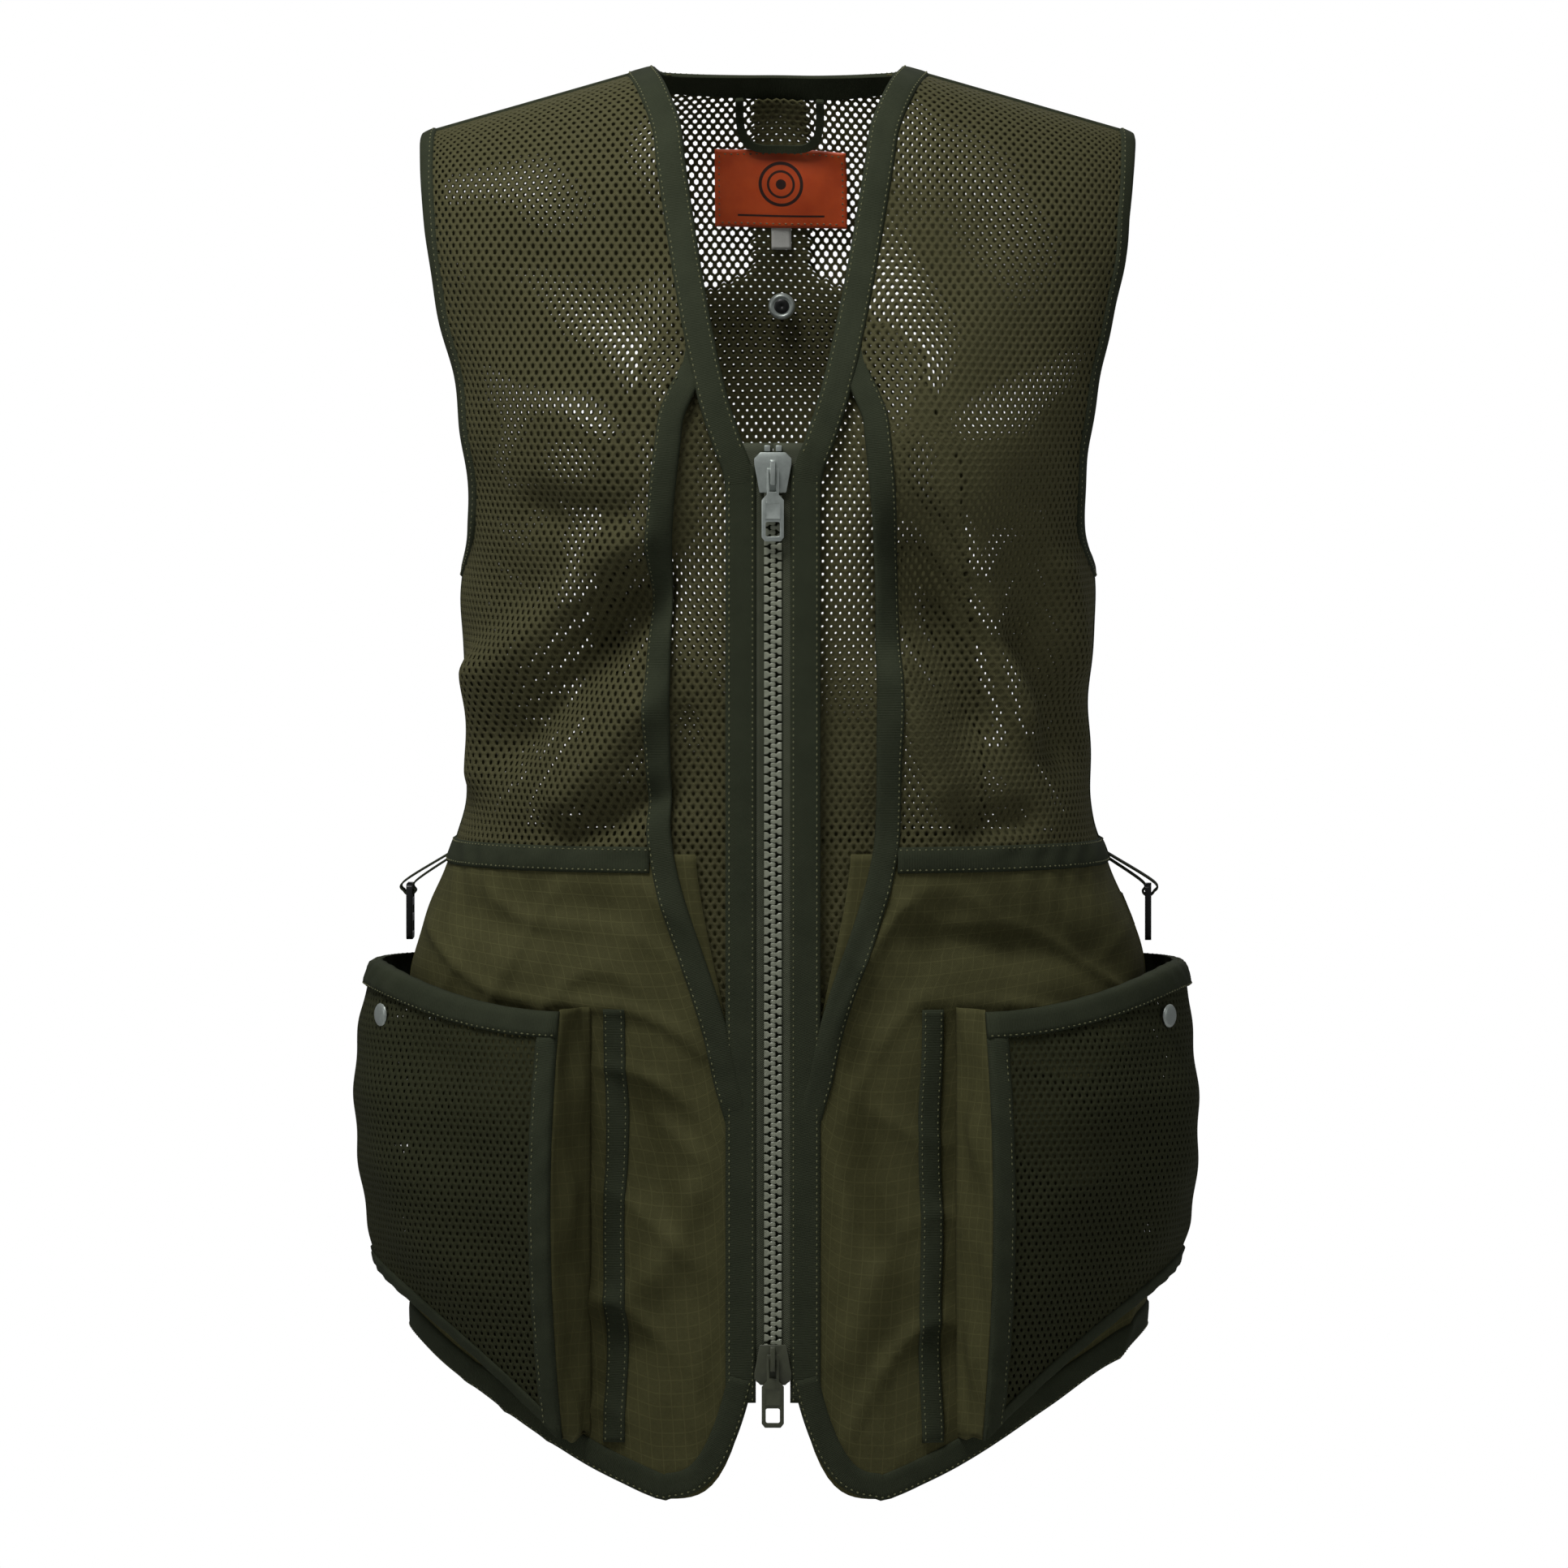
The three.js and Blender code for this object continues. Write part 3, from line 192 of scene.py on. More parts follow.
def around(angle, h):
    """The same by the angle round the body: 0 is the centre front, 90 the left side, 180 the back."""
    angle, h = np.broadcast_arrays(np.radians(angle), np.asarray(h, float))
    sine, cosine = np.sin(angle), np.cos(angle)
    side = np.where(cosine > 0, -1, 1)
    x = half_width(h) * np.sign(sine) * np.abs(sine) ** (2 / SQUARENESS)
    y = side * depth(h, side) * np.abs(cosine) ** (2 / SQUARENESS) * spread(x, h)
    return np.stack([x, y, h], -1)


def angle_at(x, h):
    return np.degrees(np.arcsin(np.clip(x / half_width(h), 0, 1) ** (SQUARENESS / 2)))


def outward(p):
    """The body's unit normals at points on it."""
    def inside(q):
        x, y, h = q[..., 0], q[..., 1], q[..., 2]
        return (((np.abs(x) / half_width(h)) ** SQUARENESS - 1) * spread(x, h) ** SQUARENESS
                + (np.abs(y) / depth(h, np.where(y < 0, -1, 1))) ** SQUARENESS)
    rises = [inside(p + d) - inside(p - d) for d in np.eye(3) * 0.0005]
    rises = np.stack(rises, -1)
    return rises / np.maximum(np.linalg.norm(rises, axis=-1, keepdims=True), 1e-12)


def neck_edge(h):
    """How far the neck opening's edge is from the centre line: a V that opens into a collar."""
    t = np.clip((h - V_HEIGHT) / (NECK_HEIGHT - 0.008 - V_HEIGHT), 0, 1)
    return V_HALF + (COLLAR_HALF - V_HALF) * t ** 0.64


def neck_outer(h):
    return neck_edge(h) + NECK_BINDING * np.sqrt(
        1 + ((neck_edge(h + 0.001) - neck_edge(h - 0.001)) / 0.002) ** 2)


def opening_edge(h):
    return profile(OPENING_EDGE, h)


opening_top = 0.570
while opening_edge(opening_top) < neck_outer(opening_top) + 0.0008:
    opening_top -= 0.001


def drape(p):
    """How far the cloth stands off the body's smooth surface in folds, the same for every layer."""
    x, y, h = p[..., 0], p[..., 1], p[..., 2]
    front = step(-y, 0.010, 0.050) * step(np.abs(x), 0.020, 0.046)
    back = step(y, 0.010, 0.050)
    bust = 0.0125 * np.exp(-((np.abs(x) - 0.080) / 0.040) ** 2 - ((h - 0.512) / 0.046) ** 2)
    bust = bust - 0.0070 * np.exp(-((np.abs(x) - 0.088) / 0.055) ** 2 - ((h - 0.440) / 0.030) ** 2)
    total = bust
    for x0, h0, x1, h1, width, rise in FOLDS:
        dx, dh = x1 - x0, h1 - h0
        length = math.hypot(dx, dh)
        along = ((x - x0) * dx + (h - h0) * dh) / length ** 2
        bend = 0.06 * width * np.sin(7 * along + 40 * x0)
        off = ((x - x0) * dh - (h - h0) * dx) / length + bend
        fade = np.exp(-(np.maximum(np.abs(along - 0.5) - 0.32, 0) / 0.16) ** 2)
        total = total + FOLD_STRENGTH * rise * np.exp(-(off / width) ** 2) * fade
    slanting = 1 - np.abs(np.sin(62 * x + 34 * h + 3 * np.sin(23 * h + 1) + 2 * np.sin(31 * x)))
    level = 1 - np.abs(np.sin(58 * h - 33 * x + 2.5 * np.sin(37 * x + 2)))
    crumple = (slanting ** 3 * (1 + np.sin(41 * h + 27 * x))
               + level ** 3 * (1 + np.sin(39 * x - 29 * h + 1)))
    slack = CRUMPLE_RISE * step(WAIST_HEIGHT - h, 0, 0.03) * crumple
    ripple = (np.sin(61 * x + 37 * h + 1.0) + np.sin(-43 * x + 71 * h + 2.1)
              + 0.6 * np.sin(118 * x - 83 * h + 0.4) + 0.5 * np.sin(150 * h + 97 * x))
    gathers = (0.0008 * np.sin(330 * x + 9 * np.sin(40 * x))
               * np.exp(-np.maximum(WAIST_HEIGHT - h, 0) / 0.022) * (h < WAIST_HEIGHT + 0.004))
    seam_calm = 1 - np.exp(-((h - WAIST_HEIGHT) / 0.010) ** 2)
    hem_calm = step(h, 0.0, 0.05)
    top_calm = step(shoulder_line(x) - h, 0.004, 0.055)
    sway = 0.0035 * np.sin(26 * x + 14 * h) * back + 0.0007 * ripple
    return (((total + slack) * front * (0.25 + 0.75 * seam_calm) + sway * seam_calm * step(
        np.abs(x) + back, 0.02, 0.046)) * hem_calm + gathers * (front + back)) * top_calm


def unroll(coordinates, side):
    """Points on the body from places on the flat cloth: across from the centre line, and up."""
    across, up = coordinates[..., 0], coordinates[..., 1]
    level = np.minimum(up, 0.640)
    x = np.empty(across.shape)
    turn = np.linspace(0, math.pi / 2, 121)
    for height in np.unique(np.round(level, 6)):
        at = np.round(level, 6) == height
        xs = half_width(height) * np.sin(turn) ** (2 / SQUARENESS)
        ys = depth(height, side) * np.cos(turn) ** (2 / SQUARENESS)
        arc = np.concatenate([[0], np.cumsum(np.hypot(np.diff(xs), np.diff(ys)))])
        x[at] = np.sign(across[at]) * np.interp(np.abs(across[at]), arc, xs)
    start = shoulder_line(x) - SHOULDER_ROUND
    turned = np.clip(math.pi / 2 - np.maximum(up - start, 0) / ROLL, 0.02, math.pi / 2)
    h = np.where(up > start, shoulder_line(x) - SHOULDER_ROUND * (1 - np.cos(turned)), up)
    return body(x, h, side), turned


def in_frame(p):
    return p - np.array([0, 0, SEAT])


def cloth_points(p, lift, out=None):
    """Points of a cloth layer at a lift above the body, folds and all, in the frame."""
    return in_frame(p + (outward(p) if out is None else out) * (drape(p) + lift)[..., None])


class Finish:
    """A material, whose nodes are added with node() and whose surface values are set by name."""

    def __init__(self, name, **constants):
        self.material = bpy.data.materials.new(name)
        self.material.use_nodes = True
        self.tree = self.material.node_tree
        self.shader = self.tree.nodes["Principled BSDF"]
        for key, value in constants.items():
            self.shader.inputs[key.replace("_", " ")].default_value = value

    def node(self, kind, inputs, output=0, **settings):
        made = self.tree.nodes.new("ShaderNode" + kind)
        for key, value in settings.items():
            setattr(made, key, value)
        for key, value in inputs.items():
            if isinstance(value, Wire):
                self.tree.links.new(value.socket, made.inputs[key])
            else:
                made.inputs[key].default_value = value
        return Wire(self, made.outputs[output])

    def places(self, name="cloth"):
        """The cloth's own across and up, in metres."""
        spot = self.node("UVMap", {}, uv_map=name)
        return (self.node("SeparateXYZ", {0: spot}), self.node("SeparateXYZ", {0: spot}, output=1))

    def noise(self, scale, detail=2.0, vector=None, **settings):
        vector = vector or self.node("TexCoord", {}, output=3)
        return self.node("TexNoise", {"Vector": vector, "Scale": scale, "Detail": detail}, **settings)

    def mixed(self, share, a, b):
        return self.node("Mix", {0: share, 6: a, 7: b}, output=2, data_type="RGBA")

    def colour(self, wire):
        self.tree.links.new(wire.socket, self.shader.inputs["Base Color"])

    def roughness(self, wire):
        self.tree.links.new(wire.socket, self.shader.inputs["Roughness"])

    def bump(self, height, distance, strength=1.0):
        normal = self.node("Bump", {"Height": height, "Distance": distance, "Strength": strength})
        self.tree.links.new(normal.socket, self.shader.inputs["Normal"])


class Wire:
    """A socket of a material's node, on which sums are written as plain maths."""

    def __init__(self, finish, socket):
        self.finish, self.socket = finish, socket

    def maths(self, operation, *values):
        return self.finish.node("Math", dict(enumerate((self, *values))), operation=operation)

    def __add__(self, other):
        return self.maths("ADD", other)

    def __mul__(self, other):
        return self.maths("MULTIPLY", other)

    def __sub__(self, other):
        return self.maths("SUBTRACT", other)

    def wave(self, pitch):
        return (self * (2 * math.pi / pitch)).maths("SINE")


def srgb(*values):
    """A colour from screen values of 0 to 255."""
    return tuple(((v / 255 + 0.055) / 1.055) ** 2.4 if v > 10 else v / 255 / 12.92
                 for v in values) + (1,)


def mesh_object(name, points, faces, flat, finish, scale=None):
    """A smooth mesh object with its cloth map, a place on the flat cloth for each point."""
    data = bpy.data.meshes.new(name)
    data.from_pydata(np.asarray(points).tolist(), [], faces)
    data.update()
    corner = np.empty(len(data.loops), np.int32)
    data.loops.foreach_get("vertex_index", corner)
    spots = np.asarray(flat, float)[corner]
    data.uv_layers.new(name="cloth").data.foreach_set("uv", spots.ravel())
    if scale:
        low = spots.min(0)
        data.uv_layers.new(name="OFBake").data.foreach_set("uv", ((spots - low) / scale).ravel())
    data.polygons.foreach_set("use_smooth", np.ones(len(data.polygons), bool))
    thing = bpy.data.objects.new(name, data)
    scene.collection.objects.link(thing)
    data.materials.append(finish.material)
    return thing


def net(name, side, across, up, keeps, layer, finish, openness, spot=None, away=None):
    """Knitted mesh with a real hole in each cell, wherever keeps says the cloth was cut.
    openness gives each hole's size by its place, because the knit closes up where it is slack.
    spot and away place a net that isn't laid on the body."""
    spot = spot or (lambda c: unroll(c, side))
    rows = np.arange(math.ceil(up[0] / CELL_ROW), math.floor(up[1] / CELL_ROW) + 1)
    columns = np.arange(math.ceil(across[0] / CELL_WIDTH), math.floor(across[1] / CELL_WIDTH) + 1)
    i, j = (a.ravel() for a in np.meshgrid(columns, rows))
    centres = np.stack([(i + (j % 2) / 2) * CELL_WIDTH, j * CELL_ROW], -1)
    points, turned = spot(centres)
    kept = keeps(points, turned)
    i, j, centres = i[kept], j[kept], centres[kept]
    keys = np.stack([np.stack([2 * i + j % 2 + dx, 2 * j + dy], -1) for dx, dy in
                     ((0, 2), (-1, 1), (-1, 0), (0, -1), (1, 0), (1, 1))], 1)
    corners, index = np.unique(keys.reshape(-1, 2), axis=0, return_inverse=True)
    index = index.reshape(-1, 6)
    corner_up = (corners[:, 1] // 2) * CELL_ROW + np.where(corners[:, 1] % 2, CELL_SIDE, -CELL_SIDE)
    outer = np.stack([corners[:, 0] * CELL_WIDTH / 2, corner_up], -1)
    hole = np.array([(0, 0.5), (-0.5, 0.26), (-0.5, -0.26), (0, -0.5), (0.5, -0.26), (0.5, 0.26)])
    wide = openness(points[kept]) * np.ones(len(centres))
    inner = centres[:, None] + hole * np.array([HOLE_WIDTH, HOLE_HEIGHT]) * wide[:, None, None]
    flat = np.concatenate([outer, inner.reshape(-1, 2)])
    inner_index = len(outer) + np.arange(len(centres) * 6).reshape(-1, 6)
    base, _ = spot(flat)
    faces_out = [in_frame(base + away(flat) * lift) if away else cloth_points(base, lift)
                 for lift in layer[::-1]]
    n = len(flat)
    a, b = index, np.roll(index, -1, 1)
    c, d = np.roll(inner_index, -1, 1), inner_index
    top = np.stack([a, b, c, d], -1).reshape(-1, 4)
    wall = np.stack([d, c, c + n, d + n], -1).reshape(-1, 4)
    edges = np.stack([a, b], -1).reshape(-1, 2)
    seen_edges = set(map(tuple, edges.tolist()))
    rim = np.array([e for e in edges.tolist() if (e[1], e[0]) not in seen_edges])
    rim_faces = np.stack([rim[:, 1], rim[:, 0], rim[:, 0] + n, rim[:, 1] + n], -1)
    faces = np.concatenate([top, top[:, ::-1] + n, wall, rim_faces])
    if side > 0:
        faces = faces[:, ::-1]
    spots = np.concatenate([flat, flat])
    size = flat.max(0) - flat.min(0)
    thing = mesh_object(name, np.concatenate(faces_out), faces.tolist(), spots, finish, size.max())
    return thing, size, len(centres) * CELL_WIDTH * CELL_ROW


def on_vest(thing, slot, *nodes, rides="vest"):
    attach(thing, rides)
    if nodes:
        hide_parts(*nodes)
    return thing


KNIT_LOOP_WIDTH, KNIT_LOOP_HEIGHT = 0.00075, 0.0011


def knit(name, dark, light, roughness, gloss):
    """The cloth between the holes: rows of tiny knitted loops, flecked with stray fibres."""
    made = Finish(name, Roughness=roughness, Specular_IOR_Level=gloss)
    across, up = made.places()
    loops = across.wave(KNIT_LOOP_WIDTH) * up.wave(KNIT_LOOP_HEIGHT)
    fleck = made.noise(900)
    made.colour(made.mixed(loops * 0.22 + fleck * 0.5 + 0.22, dark, light))
    made.bump(loops * 0.6 + fleck, 0.0003, 0.6)
    return made


mesh_finish = knit("mesh_cloth", srgb(54, 53, 32), srgb(108, 105, 70), 0.80, 0.22)


def armhole_share(h, side):
    """Where the armhole's edge is, as a share of the body's depth: 0 is the side seam."""
    below = np.maximum(CHEST_HEIGHT + ARMHOLE_ROUND - h, 0)
    reach = ARMHOLE_REACH * np.sqrt(np.clip(1 - (below / ARMHOLE_ROUND) ** 2, 0, 1))
    return np.where(h > CHEST_HEIGHT, reach / depth(np.minimum(h, V_HEIGHT), side), 0)


def inside_sides(p, side):
    """Whether points lie inside the armhole edge and the side seam."""
    x, h = p[..., 0], p[..., 2]
    return fullness(x, h) * depth(h, side) > armhole_share(h, side) * depth(h, side) + SEAM_MARGIN


def panel_inner(h):
    t = step(h, opening_top - 0.030, opening_top + 0.010)
    collar = (NECK_HALF - COLLAR_HALF) * step(h, NECK_HEIGHT - 0.035, NECK_HEIGHT - 0.006)
    return (1 - t) * (opening_edge(h) + OPENING_TAPE / 2) + t * (
        neck_edge(h) + NECK_BINDING / 2 + collar)


sheets = []
for hand, sign in (("left", 1), ("right", -1)):
    def front_cut(p, turned):
        x, h = p[..., 0], p[..., 2]
        return ((x * sign > panel_inner(h) - 0.002) & inside_sides(p, -1)
                & (h > WAIST_HEIGHT - 0.001) & (turned > 0.05))
    piece, size, area = net(f"{hand}_front_mesh", -1, sorted((0, sign * 0.30)), (0.310, 0.76),
                            front_cut, MESH_LAYER, mesh_finish, lambda p: 0.94)
    on_vest(piece, "mesh_cloth", f"{hand}_front_mesh_panel")
    sheets.append((piece, size, area, "hung"))

# ---- Back mesh panel and the second layer inside it ----
# One wide back of the same mesh from armhole to armhole, made here as two halves that meet on the
# centre line, and a bottle-shaped second layer of it sewn inside to stiffen the shoulder blades.
BACK_NECK_HEIGHT = 0.706
SECOND_LAYER, INNER_LAYER = (-0.0034, -0.0026), (-0.0052, -0.0044)
OVERLAY_EDGE = ((0.340, 0.100), (0.500, 0.092), (0.560, 0.072), (0.592, 0.040), (0.608, 0.015))


def back_top(x):
    """The height of the back's top edge: under the neck binding, and past it up to the seam."""
    dip = BACK_NECK_HEIGHT - 0.006 + 0.005 * np.clip(np.abs(x) / NECK_HALF, 0, 1) ** 2
    return np.where(np.abs(x) < NECK_HALF + 0.003, dip, NECK_HEIGHT)


def back_openness(p):
    """Wide holes in the stretched cloth at the neck and beside the second layer's shoulders."""
    x, h = np.abs(p[..., 0]), p[..., 2]
    neck = step(h, 0.575, 0.600) * (1 - step(x, 0.060, 0.085))
    beside = np.exp(-((x - 0.084) / 0.022) ** 2 - ((h - 0.545) / 0.030) ** 2)
    return 0.54 + 0.56 * np.maximum(neck, beside * 0.8)


for hand, sign in (("left", 1), ("right", -1)):
    def back_cut(p, turned):
        x, h = p[..., 0], p[..., 2]
        return ((x * sign > (-1e-6 if sign > 0 else 0.0002)) & inside_sides(p, 1)
                & (h > WAIST_HEIGHT - 0.001) & (h < back_top(x)) & (turned > 0.03))
    piece, size, area = net(f"{hand}_back_mesh", 1, sorted((0, sign * 0.30)), (0.310, 0.76),
                            back_cut, MESH_LAYER, mesh_finish, back_openness)
    on_vest(piece, "mesh_cloth", "back_mesh_panel")
    sheets.append((piece, size, area, "hung"))


def overlay_cut(p, turned):
    x, h = p[..., 0], p[..., 2]
    return (np.abs(x) < profile(OVERLAY_EDGE, h)) & (h > 0.325) & (h < 0.694)


overlay, size, area = net("back_second_layer", 1, (-0.12, 0.12), (0.32, 0.74), overlay_cut,
                          SECOND_LAYER, mesh_finish, lambda p: 0.72)
on_vest(overlay, "mesh_cloth", "back_overlay_panel")
sheets.append((overlay, size, area, "hung"))

for hand, sign in (("left", 1), ("right", -1)):
    def inner_cut(p, turned):
        x, h = np.abs(p[..., 0]), p[..., 2]
        inner = np.where(h > V_HEIGHT, neck_edge(h) + 0.003, 0.014)
        return (x > inner) & (x < opening_edge(h) + 0.009) & (h > 0.190) & (h < opening_top - 0.008)
    piece, size, area = net(f"{hand}_inner_mesh", -1, sorted((0.004 * sign, 0.075 * sign)),
                            (0.185, 0.570), inner_cut, INNER_LAYER, mesh_finish, lambda p: 0.86)
    on_vest(piece, "mesh_cloth", f"{hand}_front_inner_mesh")
    sheets.append((piece, size, area, "hung"))

# ---- Lower panels, inner pockets ----
# Below the waist the vest is ripstop: plain weave with a grid of thicker threads every few
# millimetres. Two fronts with rounded tips beside the zip, and one back, rising at the hem.
TIP_X, TIP_RISE, SIDE_RISE, HIP_HALF, BACK_HEM = 0.057, 0.060, 0.062, 0.183, 0.084
ZIP_OUTER = 0.0179
RIPSTOP_GRID, RIPSTOP_WEAVE = 0.0058, 0.0007
CLOTH_LAYER, BAG_LAYER = (0.0002, 0.0008), (-0.0020, -0.0015)


def front_hem(x):
    near = TIP_RISE * np.clip((TIP_X - x) / (TIP_X - V_HALF), 0, 1) ** 4
    return near + SIDE_RISE * (np.maximum(x - TIP_X, 0) / (HIP_HALF - 0.022 - TIP_X)) ** 1.2


def back_hem(angle):
    side = front_hem(HIP_HALF)
    return side + (BACK_HEM - side) * step(angle, 90, 150)


def cloth_area(grid):
    a, b, c, d = grid[:-1, :-1], grid[1:, :-1], grid[1:, 1:], grid[:-1, 1:]
    return 0.5 * np.linalg.norm(np.cross(c - a, d - b), axis=-1).sum()


def slab(name, outer, inner, finish, flat=None, loop=False):
    """A closed piece between two matching grids of points, rows along it and columns across."""
    rows, columns = outer.shape[:2]
    index = np.arange(rows * columns).reshape(rows, columns)
    if loop:
        index = np.concatenate([index, index[:1]])
    n = rows * columns
    a, b, c, d = index[:-1, :-1], index[1:, :-1], index[1:, 1:], index[:-1, 1:]
    face = np.stack([a, b, c, d], -1).reshape(-1, 4)
    rims = [(index[:-1, 0], index[1:, 0]), (index[1:, -1], index[:-1, -1])]
    if not loop:
        rims += [(index[0, 1:], index[0, :-1]), (index[-1, :-1], index[-1, 1:])]
    walls = [np.stack([q, p, p + n, q + n], -1) for p, q in rims]
    faces = np.concatenate([face, face[:, ::-1] + n, *walls])
    points = np.concatenate([outer.reshape(-1, 3), inner.reshape(-1, 3)])
    low, mid = points[faces[:, 0]], points[faces[:, 2]]
    sway = np.cross(points[faces[:, 1]] - low, mid - low) + np.cross(
        mid - low, points[faces[:, 3]] - low)
    if ((low - points.mean(0)) * sway).sum() < 0:
        faces = faces[:, ::-1]
    if flat is None:
        middle = (outer + inner) / 2
        ups = np.linalg.norm(np.diff(middle[:, columns // 2], axis=0), axis=-1)
        overs = np.linalg.norm(np.diff(middle, axis=1), axis=-1)
        v = np.concatenate([[0], np.cumsum(ups)])
        u = np.concatenate([np.zeros((rows, 1)), np.cumsum(overs, 1)], 1)
        flat = np.stack([u, np.broadcast_to(v[:, None], (rows, columns))], -1)
    spots = np.concatenate([flat.reshape(-1, 2)] * 2)
    return mesh_object(name, points, faces.tolist(), spots, finish)


ripstop = Finish("ripstop", Roughness=0.80, Specular_IOR_Level=0.18)
rip_across, rip_up = ripstop.places()
threads = [(place * (1 / RIPSTOP_GRID)).maths("PINGPONG", 0.5).maths("LESS_THAN", 0.045)
           for place in (rip_across, rip_up)]
grid_lines = threads[0].maths("MAXIMUM", threads[1])
weave = rip_across.wave(RIPSTOP_WEAVE) * rip_up.wave(RIPSTOP_WEAVE)
mottle = ripstop.noise(70, 4) * 0.5 + ripstop.noise(700) * 0.35
ripstop.colour(ripstop.mixed(grid_lines * 0.30 + mottle + weave * 0.05,
                             srgb(60, 58, 32), srgb(98, 96, 60)))
ripstop.bump(weave * 0.35 + grid_lines + ripstop.noise(220, 3) * 0.8, 0.0003, 0.5)

SIDE_ALLOWANCE = 0.03


def laid(name, base, layer):
    """Ripstop laid on the body between two lifts."""
    return slab(name, cloth_points(base, layer[1]), cloth_points(base, layer[0]), ripstop)


for hand, sign in (("left", 1), ("right", -1)):
    shares = np.linspace(0, 1, 73) ** 1.15

    def lower_angle(share, h):
        inner = ZIP_OUTER + (opening_edge(h) + OPENING_TAPE / 2 - ZIP_OUTER) * step(h, 0.170, 0.195)
        start = angle_at(inner, h)
        return start + (89.9 - start) * share

    foot = np.full(shares.shape, 0.02)
    for _ in range(40):
        foot = 0.4 * foot + 0.6 * front_hem(np.abs(around(lower_angle(shares, foot), foot)[:, 0]))
    ups = np.linspace(0, 1, 97)[:, None]
    heights = foot + (WAIST_HEIGHT + 0.001 - foot) * ups
    base = around(sign * lower_angle(shares, heights), heights)
    panel = laid(f"{hand}_lower_front", base, CLOTH_LAYER)
    on_vest(panel, "ripstop", f"{hand}_lower_front_panel")
    size = (np.ptp(base[..., 0]) + SIDE_ALLOWANCE, WAIST_HEIGHT)
    sheets.append((panel, size, cloth_area(base), "hung"))

    heights = np.linspace(0.160, 0.320, 41)[:, None]
    inner = 0.020 + 0.019 * step(heights, 0.200, 0.330)
    base = body(sign * (inner + (0.110 - inner) * np.linspace(0, 1, 25)), heights, -1)
    bag = laid(f"{hand}_inner_pocket_bag", base, BAG_LAYER)
    on_vest(bag, "ripstop", f"{hand}_inner_pocket")
    sheets.append((bag, (0.092, 0.160), cloth_area(base), "hung"))

turn = np.linspace(90.1, 269.9, 121)
hem = back_hem(np.where(turn > 180, 360 - turn, turn))
base = around(turn, hem + (WAIST_HEIGHT + 0.001 - hem) * np.linspace(0, 1, 81)[:, None])
panel = laid("lower_back", base, CLOTH_LAYER)
on_vest(panel, "ripstop", "lower_back_panel")
sheets.append((panel, (0.46, 0.262), cloth_area(base), "hung"))

# ---- Bindings and tapes ----
# Folded grosgrain tape, sewn round every raw edge and over every seam, with a row of lighter
# stitches near the inner edge. The neck and hem bindings are each one long strip.
ARMHOLE_BINDING, HEM_BINDING, WAIST_TAPE, SHOULDER_TAPE, SIDE_TAPE = 0.008, 0.013, 0.013, 0.006, 0.005
STITCH_PITCH, STITCH_LENGTH = 0.0032, 0.0021
THREAD_HALF_WIDTH, THREAD_HALF_HEIGHT = 0.00042, 0.00030
RIB_PITCH = 0.00085
NECK_LAYER, HEM_LAYER, ARMHOLE_LAYER = (-0.0008, 0.0027), (-0.0012, 0.0026), (-0.0012, 0.0025)
WAIST_LAYER, BACK_WAIST_LAYER, OPENING_LAYER = (0.0004, 0.0025), (0.0008, 0.0030), (-0.0002, 0.0027)
SHOULDER_LAYER, SIDE_LAYER, LOWER_SIDE_LAYER = (-0.0002, 0.0022), (-0.0002, 0.0016), (0.0002, 0.0014)
EDGE_INSET, SHALLOW_INSET, SEAM_INSET = 0.0014, 0.0015, 0.0017
TAPE_SECTION = np.array([-1, -0.96, -0.8, -0.4, 0, 0.4, 0.8, 0.96, 1])
TAPE_CROWN = np.array([0.3, 0.72, 0.95, 1, 1, 1, 0.95, 0.72, 0.3])

tape = Finish("tape", Roughness=0.88, Specular_IOR_Level=0.15)
_, tape_along = tape.places()
ribs = tape_along.wave(RIB_PITCH)
tape.colour(tape.mixed(tape.noise(60, 4) * 0.55 + tape.noise(900) * 0.35 + ribs * 0.10,
                       srgb(40, 45, 32), srgb(68, 73, 55)))
tape.bump(ribs * 0.5 + tape.noise(160, 3) * 1.2, 0.00025, 0.55)
thread = Finish("stitch_thread", Roughness=0.6)
thread.colour(thread.mixed(thread.noise(400), srgb(94, 96, 62), srgb(136, 136, 98)))


def smooth(points, gap=0.003, loop=False):
    """Evenly spaced points on a smooth curve through the given ones."""
    p = np.asarray(points, float)
    p = np.concatenate([p[-1:], p, p[:2]]) if loop else np.concatenate(
        [2 * p[:1] - p[1:2], p, 2 * p[-1:] - p[-2:-1]])
    pieces = []
    t = np.linspace(0, 1, 24, endpoint=False)[:, None]
    for a, b, c, d in zip(p, p[1:], p[2:], p[3:]):
        pieces.append(0.5 * (2 * b + (c - a) * t + (2 * a - 5 * b + 4 * c - d) * t ** 2
                             + (3 * b - a - 3 * c + d) * t ** 3))
    line = np.concatenate(pieces + [p[-2:-1]])
    along = np.concatenate([[0], np.cumsum(np.linalg.norm(np.diff(line, axis=0), axis=1))])
    at = np.linspace(0, along[-1], max(3, round(along[-1] / gap) + 1))
    even = np.stack([np.interp(at, along, line[:, k]) for k in range(3)], -1)
    return even[:-1] if loop else even


